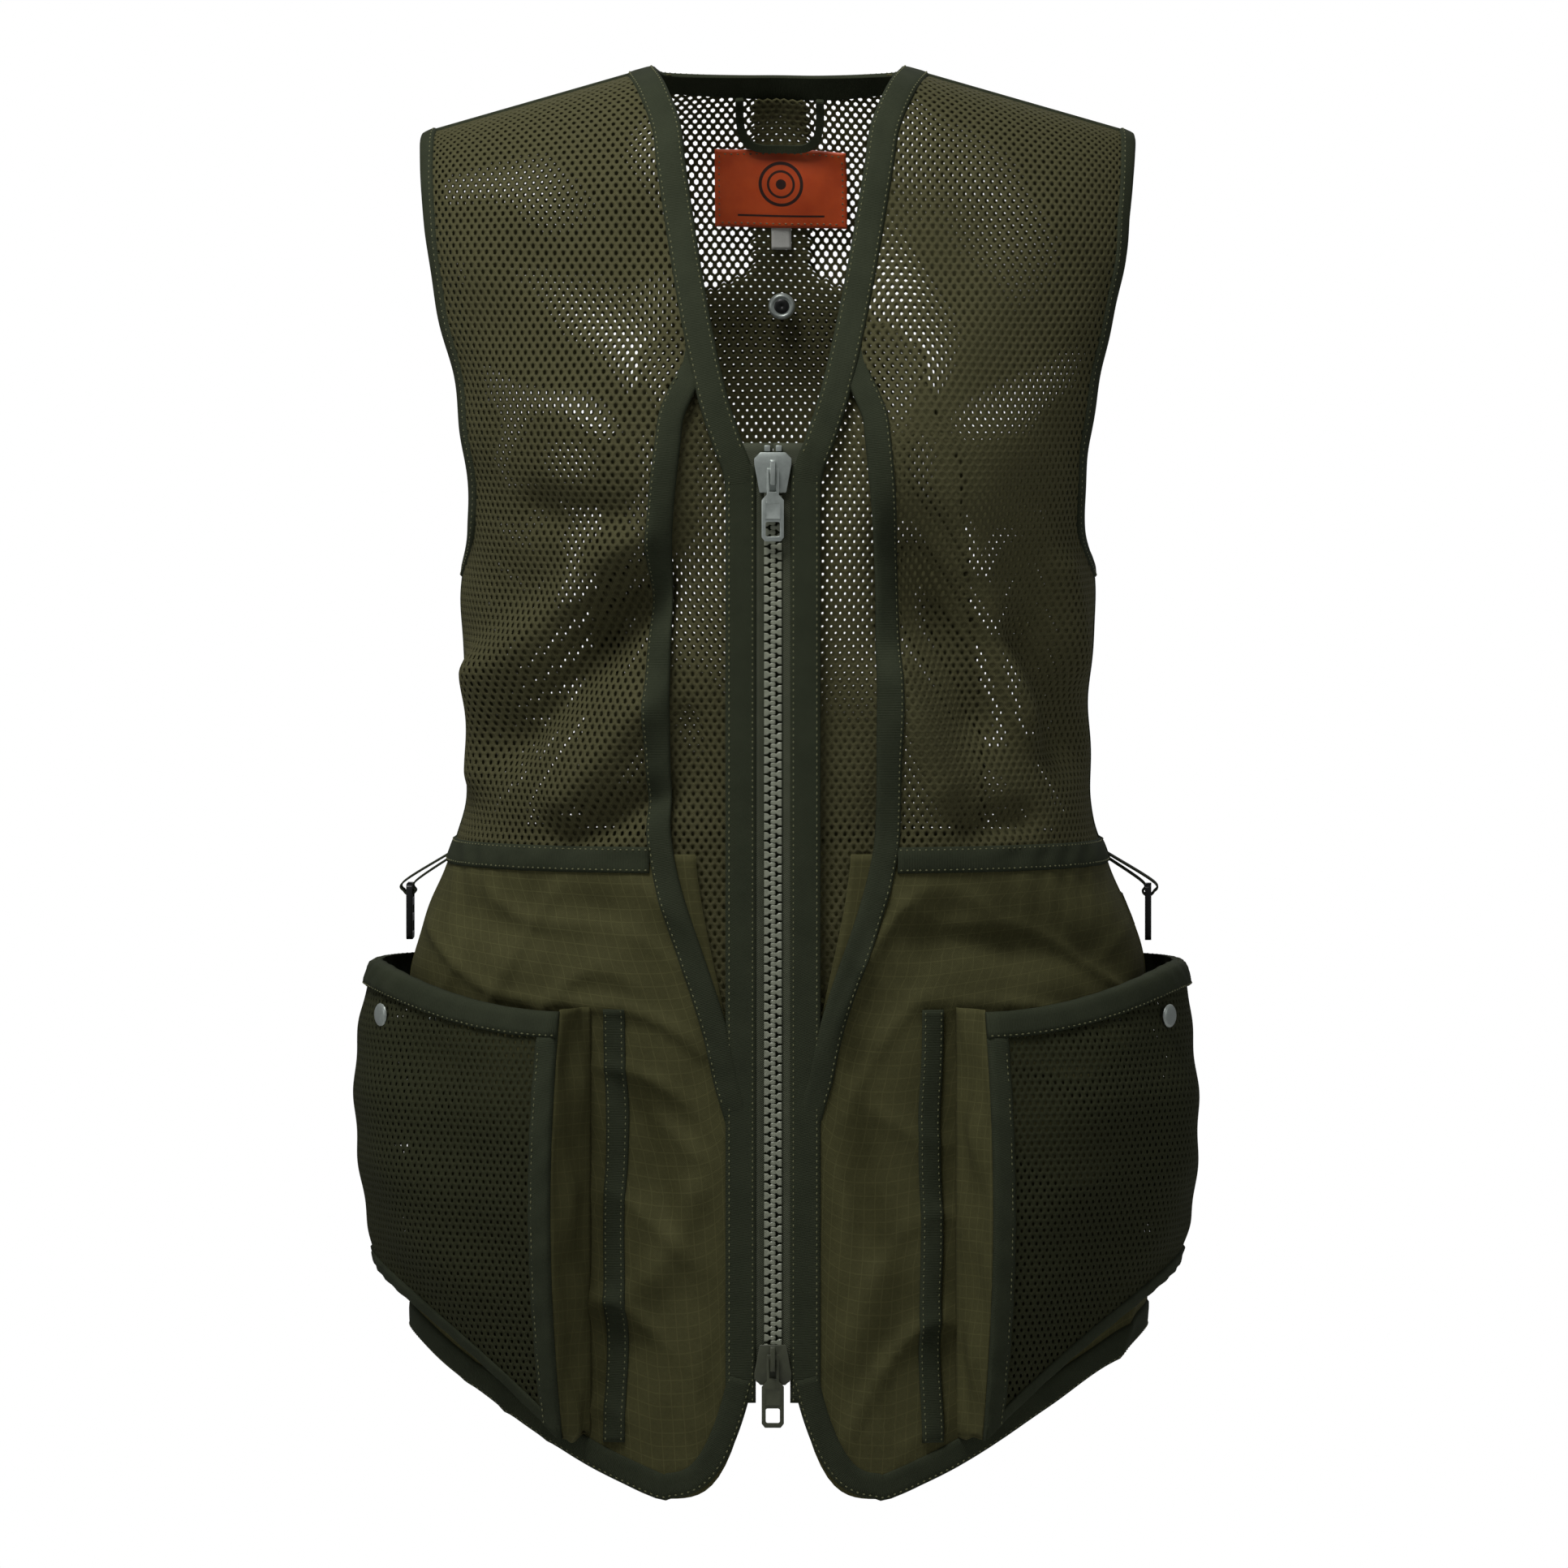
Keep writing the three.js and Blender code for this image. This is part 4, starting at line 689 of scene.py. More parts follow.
def frames(route, loop=False):
    """Unit directions along a route on the body, outward, and across."""
    along = np.roll(route, -1, 0) - np.roll(route, 1, 0) if loop else np.gradient(route, axis=0)
    out = outward(route)
    soft = 9
    padded = np.concatenate([out[-soft:], out, out[:soft]]) if loop else np.concatenate(
        [out[:1]] * soft + [out] + [out[-1:]] * soft)
    kernel = np.hanning(2 * soft + 3)[1:-1]
    out = np.stack([np.convolve(padded[:, k], kernel / kernel.sum(), "same")[soft:-soft]
                    for k in range(3)], -1)
    out /= np.linalg.norm(out, axis=1, keepdims=True)
    across = np.cross(along, out)
    across /= np.linalg.norm(across, axis=1, keepdims=True)
    return along, out, across


def ribbon(name, route, width, layer, finish=tape, loop=False, sink=0):
    """A tape along a route on the body, with rounded edges, that follows the cloth's folds.
    sink lowers it along the route, where it passes under another tape."""
    _, out, across = frames(route, loop)
    base = route[:, None] + across[:, None] * (TAPE_SECTION * width / 2)[:, None]
    low = layer[0] - np.reshape(sink, (-1, 1))
    high = low + (layer[1] - layer[0]) * TAPE_CROWN
    top, under = (cloth_points(base, lift, out[:, None]) for lift in (high, low))
    return slab(name, top, under, finish, loop=loop)


def trim(name, route, width, layer, *nodes, finish=tape, slot="tape", **shape):
    """A ribbon sewn to the vest."""
    on_vest(ribbon(name, route, width, layer, finish, **shape), slot, *nodes)


stitched = []


def stitch_row(route, offset, lift, loop=False):
    """Adds a row of stitches beside a route on the body."""
    _, out, across = frames(route, loop)
    line_up(cloth_points(route + across * offset, lift, out), out)


def stitch_edges(route, width, inset, lift):
    """Adds a row of stitches along each edge of a tape."""
    for offset in (-width / 2 + inset, width / 2 - inset):
        stitch_row(route, offset, lift)


def line_up(line, out):
    """Adds a row of stitches along a line in the frame, each with the outward direction there."""
    along = np.concatenate([[0], np.cumsum(np.linalg.norm(np.diff(line, axis=0), axis=1))])
    for at in np.arange(STITCH_PITCH / 2, along[-1] - STITCH_LENGTH / 2, STITCH_PITCH):
        ends = [np.array([np.interp(at + d, along, line[:, k]) for k in range(3)])
                for d in (-STITCH_LENGTH / 2, STITCH_LENGTH / 2)]
        up = np.array([np.interp(at, along, out[:, k]) for k in range(3)])
        stitched.append((*ends, up / np.linalg.norm(up)))


def sew(name, slot="tape", rides="vest"):
    """Makes one piece of all the stitches added so far, each a grain with pointed ends."""
    ends = np.array([[s[0], s[1]] for s in stitched])
    up = np.array([s[2] for s in stitched])
    middle = ends.mean(1)
    side = np.cross(ends[:, 1] - ends[:, 0], up)
    side /= np.linalg.norm(side, axis=1, keepdims=True)
    side, up = side * THREAD_HALF_WIDTH, up * THREAD_HALF_HEIGHT
    ring = [middle + side, middle + up, middle - side, middle - up]
    points = np.stack([ends[:, 0] - up, ends[:, 1] - up, *ring], 1).reshape(-1, 3)
    shape = np.array([(0, 2, 3), (0, 3, 4), (0, 4, 5), (0, 5, 2),
                      (1, 3, 2), (1, 4, 3), (1, 5, 4), (1, 2, 5)])
    faces = (np.arange(len(stitched))[:, None, None] * 6 + shape).reshape(-1, 3)
    stitched.clear()
    thing = mesh_object(name, points, faces.tolist(), points[:, [0, 2]], thread)
    on_vest(thing, slot, rides=rides)
    return thing


def mirrored(points):
    return np.asarray(points)[::-1] * np.array([-1, 1, 1])


def neck_centre(h):
    return (neck_edge(h) + neck_outer(h)) / 2


rise = np.linspace(V_HEIGHT + 0.004, NECK_HEIGHT - 0.028, 9)
half_neck = np.array([
    body(0.0160, V_HEIGHT - 0.024, -1),
    body(0.0178, V_HEIGHT - 0.009, -1),
    *body(neck_centre(rise), rise, -1),
    body(NECK_HALF + 0.001, NECK_HEIGHT - 0.010, -1),
    body(NECK_HALF + NECK_BINDING / 2, shoulder_line(NECK_HALF + NECK_BINDING / 2), -1),
    body(NECK_HALF + 0.002, NECK_HEIGHT - 0.006, 1),
    body(NECK_HALF * 0.75, BACK_NECK_HEIGHT - 0.006, 1),
    body(NECK_HALF * 0.35, BACK_NECK_HEIGHT - NECK_BINDING / 2, 1),
])
neck_route = smooth([*half_neck, body(0, BACK_NECK_HEIGHT - NECK_BINDING / 2, 1), *mirrored(half_neck)])
sink = 0.0010 * (1 - step(neck_route[:, 2], V_HEIGHT - 0.024, V_HEIGHT - 0.006))
trim("neck_edging", neck_route, NECK_BINDING, NECK_LAYER, "neck_binding", sink=sink)
stitch_edges(neck_route[neck_route[:, 2] > V_HEIGHT - 0.006], NECK_BINDING, SEAM_INSET, NECK_LAYER[1])

facing_middle = 0.016
t = np.linspace(0, 1, 11)
tip_x = facing_middle + (TIP_X - facing_middle) * t
tip_h = HEM_BINDING / 2 + (TIP_RISE - HEM_BINDING / 2) * (
    (TIP_X - tip_x) / (TIP_X - facing_middle)) ** 3.2
side_angle = np.linspace(angle_at(TIP_X, 0), 90, 9)[1:]
side_h = front_hem(around(side_angle, SIDE_RISE)[:, 0]) + HEM_BINDING / 2
back_angle = np.linspace(90, 180, 10)[1:]
half_hem = np.array([*body(tip_x, tip_h, -1), *around(side_angle, side_h),
                     *around(back_angle, back_hem(back_angle) + HEM_BINDING / 2)])
hem_route = smooth([*half_hem, *mirrored(half_hem[:-1])])
trim("hem_edging", hem_route, HEM_BINDING, HEM_LAYER, "hem_binding")
stitch_row(hem_route, HEM_BINDING / 2 - 0.0016, HEM_LAYER[1])

waist_angles = np.linspace(90.2, 269.8, 60)
route = smooth(around(waist_angles, WAIST_HEIGHT))
trim("back_waist_band", route, WAIST_TAPE, BACK_WAIST_LAYER, "back_waist_tape")
stitch_edges(route, WAIST_TAPE, SHALLOW_INSET, BACK_WAIST_LAYER[1])

for hand, sign in (("left", 1), ("right", -1)):
    flip = np.array([sign, 1, 1])
    h = np.linspace(0.174, opening_top + 0.008, 36)
    tuck = 0.0072 * step(0.215 - h, 0, 0.040) + 0.011 * step(
        h, opening_top - 0.030, opening_top + 0.008)
    route = smooth(body(sign * (opening_edge(h) + OPENING_TAPE / 2 - tuck), h, -1))
    sink = 0.0016 * (1 - step(route[:, 2], 0.180, 0.202)) + 0.0014 * step(
        route[:, 2], opening_top - 0.016, opening_top)
    trim(f"{hand}_opening_edging", route, OPENING_TAPE, OPENING_LAYER, f"{hand}_opening_tape", sink=sink)
    shown = route[(route[:, 2] > 0.196) & (route[:, 2] < opening_top - 0.008)]
    stitch_row(shown, sign * (OPENING_TAPE / 2 - EDGE_INSET), OPENING_LAYER[1])

    start = angle_at(opening_edge(WAIST_HEIGHT + WAIST_TAPE / 2) + OPENING_TAPE - 0.001, WAIST_HEIGHT)
    route = smooth(around(sign * np.linspace(start, 89.8, 30), WAIST_HEIGHT))
    trim(f"{hand}_waist_band", route, WAIST_TAPE, WAIST_LAYER, f"{hand}_waist_tape")
    stitch_edges(route, WAIST_TAPE, SHALLOW_INSET, WAIST_LAYER[1])

    halves = []
    for side in (-1, 1):
        t = np.linspace(0, 1, 15)
        foot = CHEST_HEIGHT + ARMHOLE_BINDING / 3
        h = foot + (TIP_HEIGHT - foot) * np.sin((t * t * 0.3 + t * 0.7) * math.pi / 2)
        share = armhole_share(h - ARMHOLE_BINDING / 4, side)
        angle = np.degrees(np.arccos(np.clip(share, 0, 1) ** (SQUARENESS / 2))) - 1
        angle[0] = 90
        for _ in range(20):
            p = around(angle if side < 0 else 180 - angle, h)
            h = np.minimum(h, shoulder_line(p[:, 0]))
        halves.append(around(angle if side < 0 else 180 - angle, h))
    tip = body(SHOULDER_HALF - 0.002, shoulder_line(SHOULDER_HALF - 0.002), 1)
    route = smooth(np.array([*halves[0][:-1], tip, *halves[1][1:-1][::-1]]) * flip, loop=True)
    trim(f"{hand}_armhole_edging", route, ARMHOLE_BINDING, ARMHOLE_LAYER, f"{hand}_armhole_binding",
         loop=True)
    stitch_row(route, -sign * (ARMHOLE_BINDING / 2 - EDGE_INSET), ARMHOLE_LAYER[1], loop=True)

    x = sign * np.linspace(NECK_HALF + NECK_BINDING - 0.002, SHOULDER_HALF - ARMHOLE_BINDING / 2, 24)
    route = smooth(body(x, shoulder_line(x), 1))
    trim(f"{hand}_shoulder_band", route, SHOULDER_TAPE, SHOULDER_LAYER, f"{hand}_shoulder_tape")
    route = smooth(around(sign * 90.0, np.linspace(WAIST_HEIGHT, CHEST_HEIGHT, 30)))
    trim(f"{hand}_side_seam", route, SIDE_TAPE, SIDE_LAYER)
    route = smooth(around(sign * 90.0, np.linspace(front_hem(HIP_HALF) + 0.010, WAIST_HEIGHT, 40)))
    trim(f"{hand}_lower_side_seam", route, SIDE_TAPE, LOWER_SIDE_LAYER, finish=ripstop, slot="ripstop")

# ---- Zip ----
# A two-way moulded zip with a herringbone tape, sewn under a plain facing strip on each front. The
# teeth of the two rows interlock down the middle between a nickel slider and an olive one.
FACING_INNER, FACING_OUTER = 0.0085, 0.0235
CHAIN_FOOT, TOOTH_PITCH, TOOTH_COUNT = 0.072, 0.0047, 92
TOOTH_WIDTH, TOOTH_THICKNESS, TOOTH_HEIGHT, TOOTH_ROOT = 0.0016, 0.0026, 0.0037, 0.0036
PLAQUE_WIDTH, PLAQUE_HEIGHT, PLAQUE_MIDDLE = 0.0078, 0.0082, 0.0152
FACING_LIFT, FACING_CROWN = 0.0010, 0.0011
CHAIN_Y = -0.1165
TAPE_HALF_THICKNESS = 0.0004
CHEVRON_WIDTH, CHEVRON_HEIGHT = 0.0024, 0.0011

zip_cloth = Finish("zip_tape", Roughness=0.8, Specular_IOR_Level=0.25)
zip_across, zip_along = zip_cloth.places()
slants = (zip_across * (1 / CHEVRON_WIDTH)).maths("PINGPONG", 0.5) * 2
herringbone = (slants + zip_along * (1 / CHEVRON_HEIGHT)).wave(1)
zip_cloth.colour(zip_cloth.mixed(herringbone * 0.28 + zip_cloth.noise(120, 3) * 0.5 + 0.2,
                                 srgb(56, 60, 46), srgb(100, 104, 84)))
zip_cloth.bump(herringbone, 0.0003, 0.5)

for hand, sign in (("left", 1), ("right", -1)):
    head = V_HEIGHT + np.linspace(-0.009, 0.003, 13)
    foot = TIP_RISE - 0.012
    h = foot + (head - foot) * np.linspace(0, 1, 150)[:, None]
    base = body(sign * np.linspace(FACING_INNER, FACING_OUTER, 13), h, -1)
    crown = np.interp(np.linspace(-1, 1, 13), TAPE_SECTION, TAPE_CROWN)
    strip = slab(f"{hand}_facing_strip", cloth_points(base, FACING_LIFT + FACING_CROWN * crown),
                 cloth_points(base, FACING_LIFT - 0.0001), tape)
    on_vest(strip, "tape", f"{hand}_zip_facing")
    line = body(np.full(150, sign * FACING_INNER), h[:, 0], -1)
    for offset in (0.0016, FACING_OUTER - FACING_INNER - 0.0018):
        stitch_row(line, sign * offset, FACING_LIFT + FACING_CROWN)

    h = np.linspace(CHAIN_FOOT - 0.012, V_HEIGHT + 0.004, 110)[:, None]
    x = sign * np.array([0.0001, 0.0030, 0.0042, 0.0054, 0.0090, 0.0130, 0.0170])
    dip = np.array([0.0015, 0.0015, 0.0010, 0, 0, 0, 0])
    x, dip, h = np.broadcast_arrays(x, dip, h)
    faces = [in_frame(np.stack([x, CHAIN_Y + dip + lift, h], -1))
             for lift in (-TAPE_HALF_THICKNESS / 2, TAPE_HALF_THICKNESS / 2)]
    on_vest(slab(f"{hand}_zip_cloth", *faces, zip_cloth), "zip_tape", f"{hand}_zip_tape")
sew("body_stitches")

moulded = Finish("moulded_teeth", Roughness=0.38, Coat_Weight=0.15)
moulded.colour(moulded.mixed(moulded.noise(300, 3), srgb(120, 124, 106), srgb(168, 172, 152)))
moulded.bump(moulded.noise(900), 0.0001, 0.4)


def pick_vertices(thing, test):
    """Edit mode with only the vertices that pass a test selected."""
    bpy.ops.object.mode_set(mode="OBJECT")
    for v in thing.data.vertices:
        v.select = bool(test(v.co))
    for e in thing.data.edges:
        e.select = all(thing.data.vertices[i].select for i in e.vertices)
    for f in thing.data.polygons:
        f.select = all(thing.data.vertices[i].select for i in f.vertices)
    bpy.ops.object.mode_set(mode="EDIT")


def only(thing):
    bpy.ops.object.select_all(action="DESELECT")
    thing.select_set(True)
    bpy.context.view_layer.objects.active = thing


bpy.ops.object.select_all(action="DESELECT")
bpy.ops.mesh.primitive_cube_add(size=1, location=(TOOTH_ROOT, 0, 0),
                                scale=(TOOTH_WIDTH, TOOTH_THICKNESS, TOOTH_HEIGHT))
tooth = bpy.context.object
bpy.ops.object.transform_apply(location=True, scale=True)
bpy.ops.object.mode_set(mode="EDIT")
bpy.ops.mesh.select_mode(type="VERT")
# Each step towards the other row: how far it reaches, and how much it widens or narrows the tooth.
for reach, width in ((-0.0012, 0.40), (-0.0008, 1.60), (-0.0012, 1.0), (-0.0008, 0.55)):
    bpy.ops.object.mode_set(mode="OBJECT")
    edge_x = min(v.co.x for v in tooth.data.vertices)
    pick_vertices(tooth, lambda co: co.x < edge_x + 1e-5)
    bpy.ops.mesh.extrude_region_move(TRANSFORM_OT_translate={"value": (reach, 0, 0)})
    bpy.ops.transform.resize(value=(1, 1, width))
pick_vertices(tooth, lambda co: co.y < -TOOTH_THICKNESS / 2 + 1e-5)
bpy.ops.mesh.bevel(offset=0.00042, segments=1, affect="EDGES")
bpy.ops.object.mode_set(mode="OBJECT")
one = np.array([v.co for v in tooth.data.vertices])
one_faces = [list(f.vertices) for f in tooth.data.polygons]
bpy.data.objects.remove(tooth)
for hand, sign in (("left", 1), ("right", -1)):
    points, faces = [], []
    for k in range(TOOTH_COUNT):
        height = CHAIN_FOOT + (k + (0.25 if sign > 0 else 0.75)) * TOOTH_PITCH
        placed = one * np.array([sign, 1, 1]) + np.array([0, CHAIN_Y, height - SEAT])
        first = len(points) * len(one)
        points.append(placed)
        faces += [[first + v for v in (f if sign > 0 else f[::-1])] for f in one_faces]
    teeth = mesh_object(f"{hand}_teeth", np.concatenate(points), faces,
                        np.concatenate(points)[:, [0, 2]], moulded)
    only(teeth)
    bpy.ops.object.shade_smooth_by_angle(angle=math.radians(35))
    on_vest(teeth, "zip_teeth", f"{hand}_zip_teeth")


def soften(thing, round_off):
    """Rounds the active piece's edges, and shades it smooth between them."""
    soft = thing.modifiers.new("edges", "BEVEL")
    soft.width, soft.segments, soft.limit_method = round_off, 2, "ANGLE"
    soft.angle_limit = math.radians(28)
    bpy.ops.object.modifier_apply(modifier="edges")
    bpy.ops.object.shade_smooth_by_angle(angle=math.radians(40))


def dressed(node, name, finish, slot, rides, round_off=0.0003):
    """A copy of a CAD piece with its doubles merged and its edges rounded, which stands for it."""
    thing = bpy.data.objects.new(name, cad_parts[node].data.copy())
    scene.collection.objects.link(thing)
    thing.data.materials.clear()
    thing.data.materials.append(finish.material)
    only(thing)
    bpy.ops.object.mode_set(mode="EDIT")
    bpy.ops.mesh.select_all(action="SELECT")
    bpy.ops.mesh.remove_doubles(threshold=1e-6)
    bpy.ops.mesh.dissolve_limited(angle_limit=math.radians(3))
    bpy.ops.object.mode_set(mode="OBJECT")
    soften(thing, round_off)
    return on_vest(thing, slot, node, rides=rides)


def metal(name, dark, light, roughness, metallic):
    """Cast metal: faint blotches, and fine rubbed scratches in its gloss."""
    made = Finish(name, Roughness=roughness, Metallic=metallic)
    blotch = made.noise(260, 5)
    rubbed = made.noise(1500, 3)
    made.colour(made.mixed(blotch * 0.7 + rubbed * 0.3, dark, light))
    made.roughness(rubbed * 0.25 + (roughness - 0.1))
    made.bump(blotch, 0.0001, 0.3)
    return made


nickel = metal("nickel", srgb(150, 158, 152), srgb(208, 216, 210), 0.32, 0.55)
olive_paint = metal("olive_paint", srgb(62, 65, 50), srgb(88, 91, 72), 0.42, 0.0)
for place, finish, slot in (("top", nickel, "nickel"), ("bottom", olive_paint, "olive_paint")):
    dressed(f"{place}_slider", f"{place}_runner", finish, slot, f"{place}_slider", 0.00035)
    dressed(f"{place}_pull", f"{place}_puller", finish, slot, f"{place}_pull", 0.00035)
    low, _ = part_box(f"{place}_pull")
    bpy.ops.object.select_all(action="DESELECT")
    bpy.ops.mesh.primitive_cube_add(size=1, location=(0, low.y - 0.0001, low.z + PLAQUE_MIDDLE),
                                    scale=(PLAQUE_WIDTH, 0.0006, PLAQUE_HEIGHT))
    plaque = bpy.context.object
    plaque.name = f"{place}_pull_plaque"
    bpy.ops.object.transform_apply(location=True, scale=True)
    pick_vertices(plaque, lambda co: co.y < low.y - 0.0002)
    bpy.ops.mesh.inset(thickness=0.0007)
    bpy.ops.transform.translate(value=(0, 0.00035, 0))
    bpy.ops.object.mode_set(mode="OBJECT")
    soften(plaque, 0.00012)
    plaque.data.materials.append(finish.material)
    on_vest(plaque, slot, rides=f"{place}_pull")
for hand in ("left", "right"):
    dressed(f"{hand}_top_stop", f"{hand}_upper_stop", nickel, "nickel", "vest")
    dressed(f"{hand}_bottom_pin", f"{hand}_lower_pin", moulded, "zip_teeth", "vest")

# ---- Bellows pockets ----
# A bag of the same mesh stands off each hip on a ripstop gusset. Its mouth is a soft thick fold of
# tape with a press stud, and tape also binds its front edge, its foot and the gusset's root.
POCKET_FRONT_X, POCKET_REAR_ANGLE, POCKET_DEPTH, REAR_STAND = 0.097, 112, 0.045, 0.0034
MOUTH_HEIGHT, MOUTH_RISE, FOOT_HEIGHT, FOOT_RISE = 0.243, 0.020, 0.030, 0.084
MOUTH_BINDING, EDGE_BINDING, FOOT_BINDING, BODY_TAPE, BODY_TAPE_X = 0.013, 0.0075, 0.008, 0.011, 0.078
MOUTH_LAYER, FRONT_EDGE_LAYER, FOOT_LAYER = (-0.0026, 0.0036), (-0.0024, 0.0026), (-0.0012, 0.0024)
BODY_TAPE_LAYER = (0.0004, 0.0028)
POCKET_GIRTH = 0.190
GUSSET_ROOT, GUSSET_TUCK, GUSSET_HALF_THICKNESS = 0.0014, -0.0020, 0.0004
POCKET_FRONT = float(angle_at(POCKET_FRONT_X, 0.250))


def pocket_foot(across):
    return FOOT_HEIGHT + FOOT_RISE * (1 - (1 - across) ** 3)


def pocket_mouth(across):
    return MOUTH_HEIGHT + MOUTH_RISE * step(across, 0, 0.6)


def pocket_stand(across, up):
    bulge = 0.3 + 0.7 * np.sin(math.pi * (0.12 + 0.72 * np.clip(up, 0, 1)))
    return REAR_STAND + (POCKET_DEPTH - REAR_STAND) * np.clip(1 - across, 0, 1) ** 0.45 * bulge


def pocket_folds(across, up, sign):
    """Soft folds of the bag, held still along its mouth, front edge and foot."""
    calm = (step(across, 0.0, 0.14) * step(1 - across, 0, 0.2)
            * step(up, 0, 0.15) * step(1 - up, 0.02, 0.2))
    waves = (np.sin(9 * across + 6 * up * sign + 0.6) + 0.7 * np.sin(17 * across - 5 * up + 2 * sign)
             + 0.4 * np.sin(27 * up + 8 * across))
    return 0.0016 * waves * calm


def pocket_point(across, up, extra, sign):
    """A point of the pocket: across from the free front edge to the rear, up from foot to mouth."""
    across, up = np.broadcast_arrays(np.asarray(across, float), np.asarray(up, float))
    foot = pocket_foot(across)
    h = foot + (pocket_mouth(across) - foot) * up
    p = around(POCKET_FRONT + (POCKET_REAR_ANGLE - POCKET_FRONT) * across, h)
    away = outward(p) * np.array([1, 1, 0])
    away /= np.linalg.norm(away, axis=-1, keepdims=True)
    stand = pocket_stand(across, up) + pocket_folds(across, up, sign) + extra
    return (p + away * np.asarray(stand)[..., None]) * np.array([sign, 1, 1])


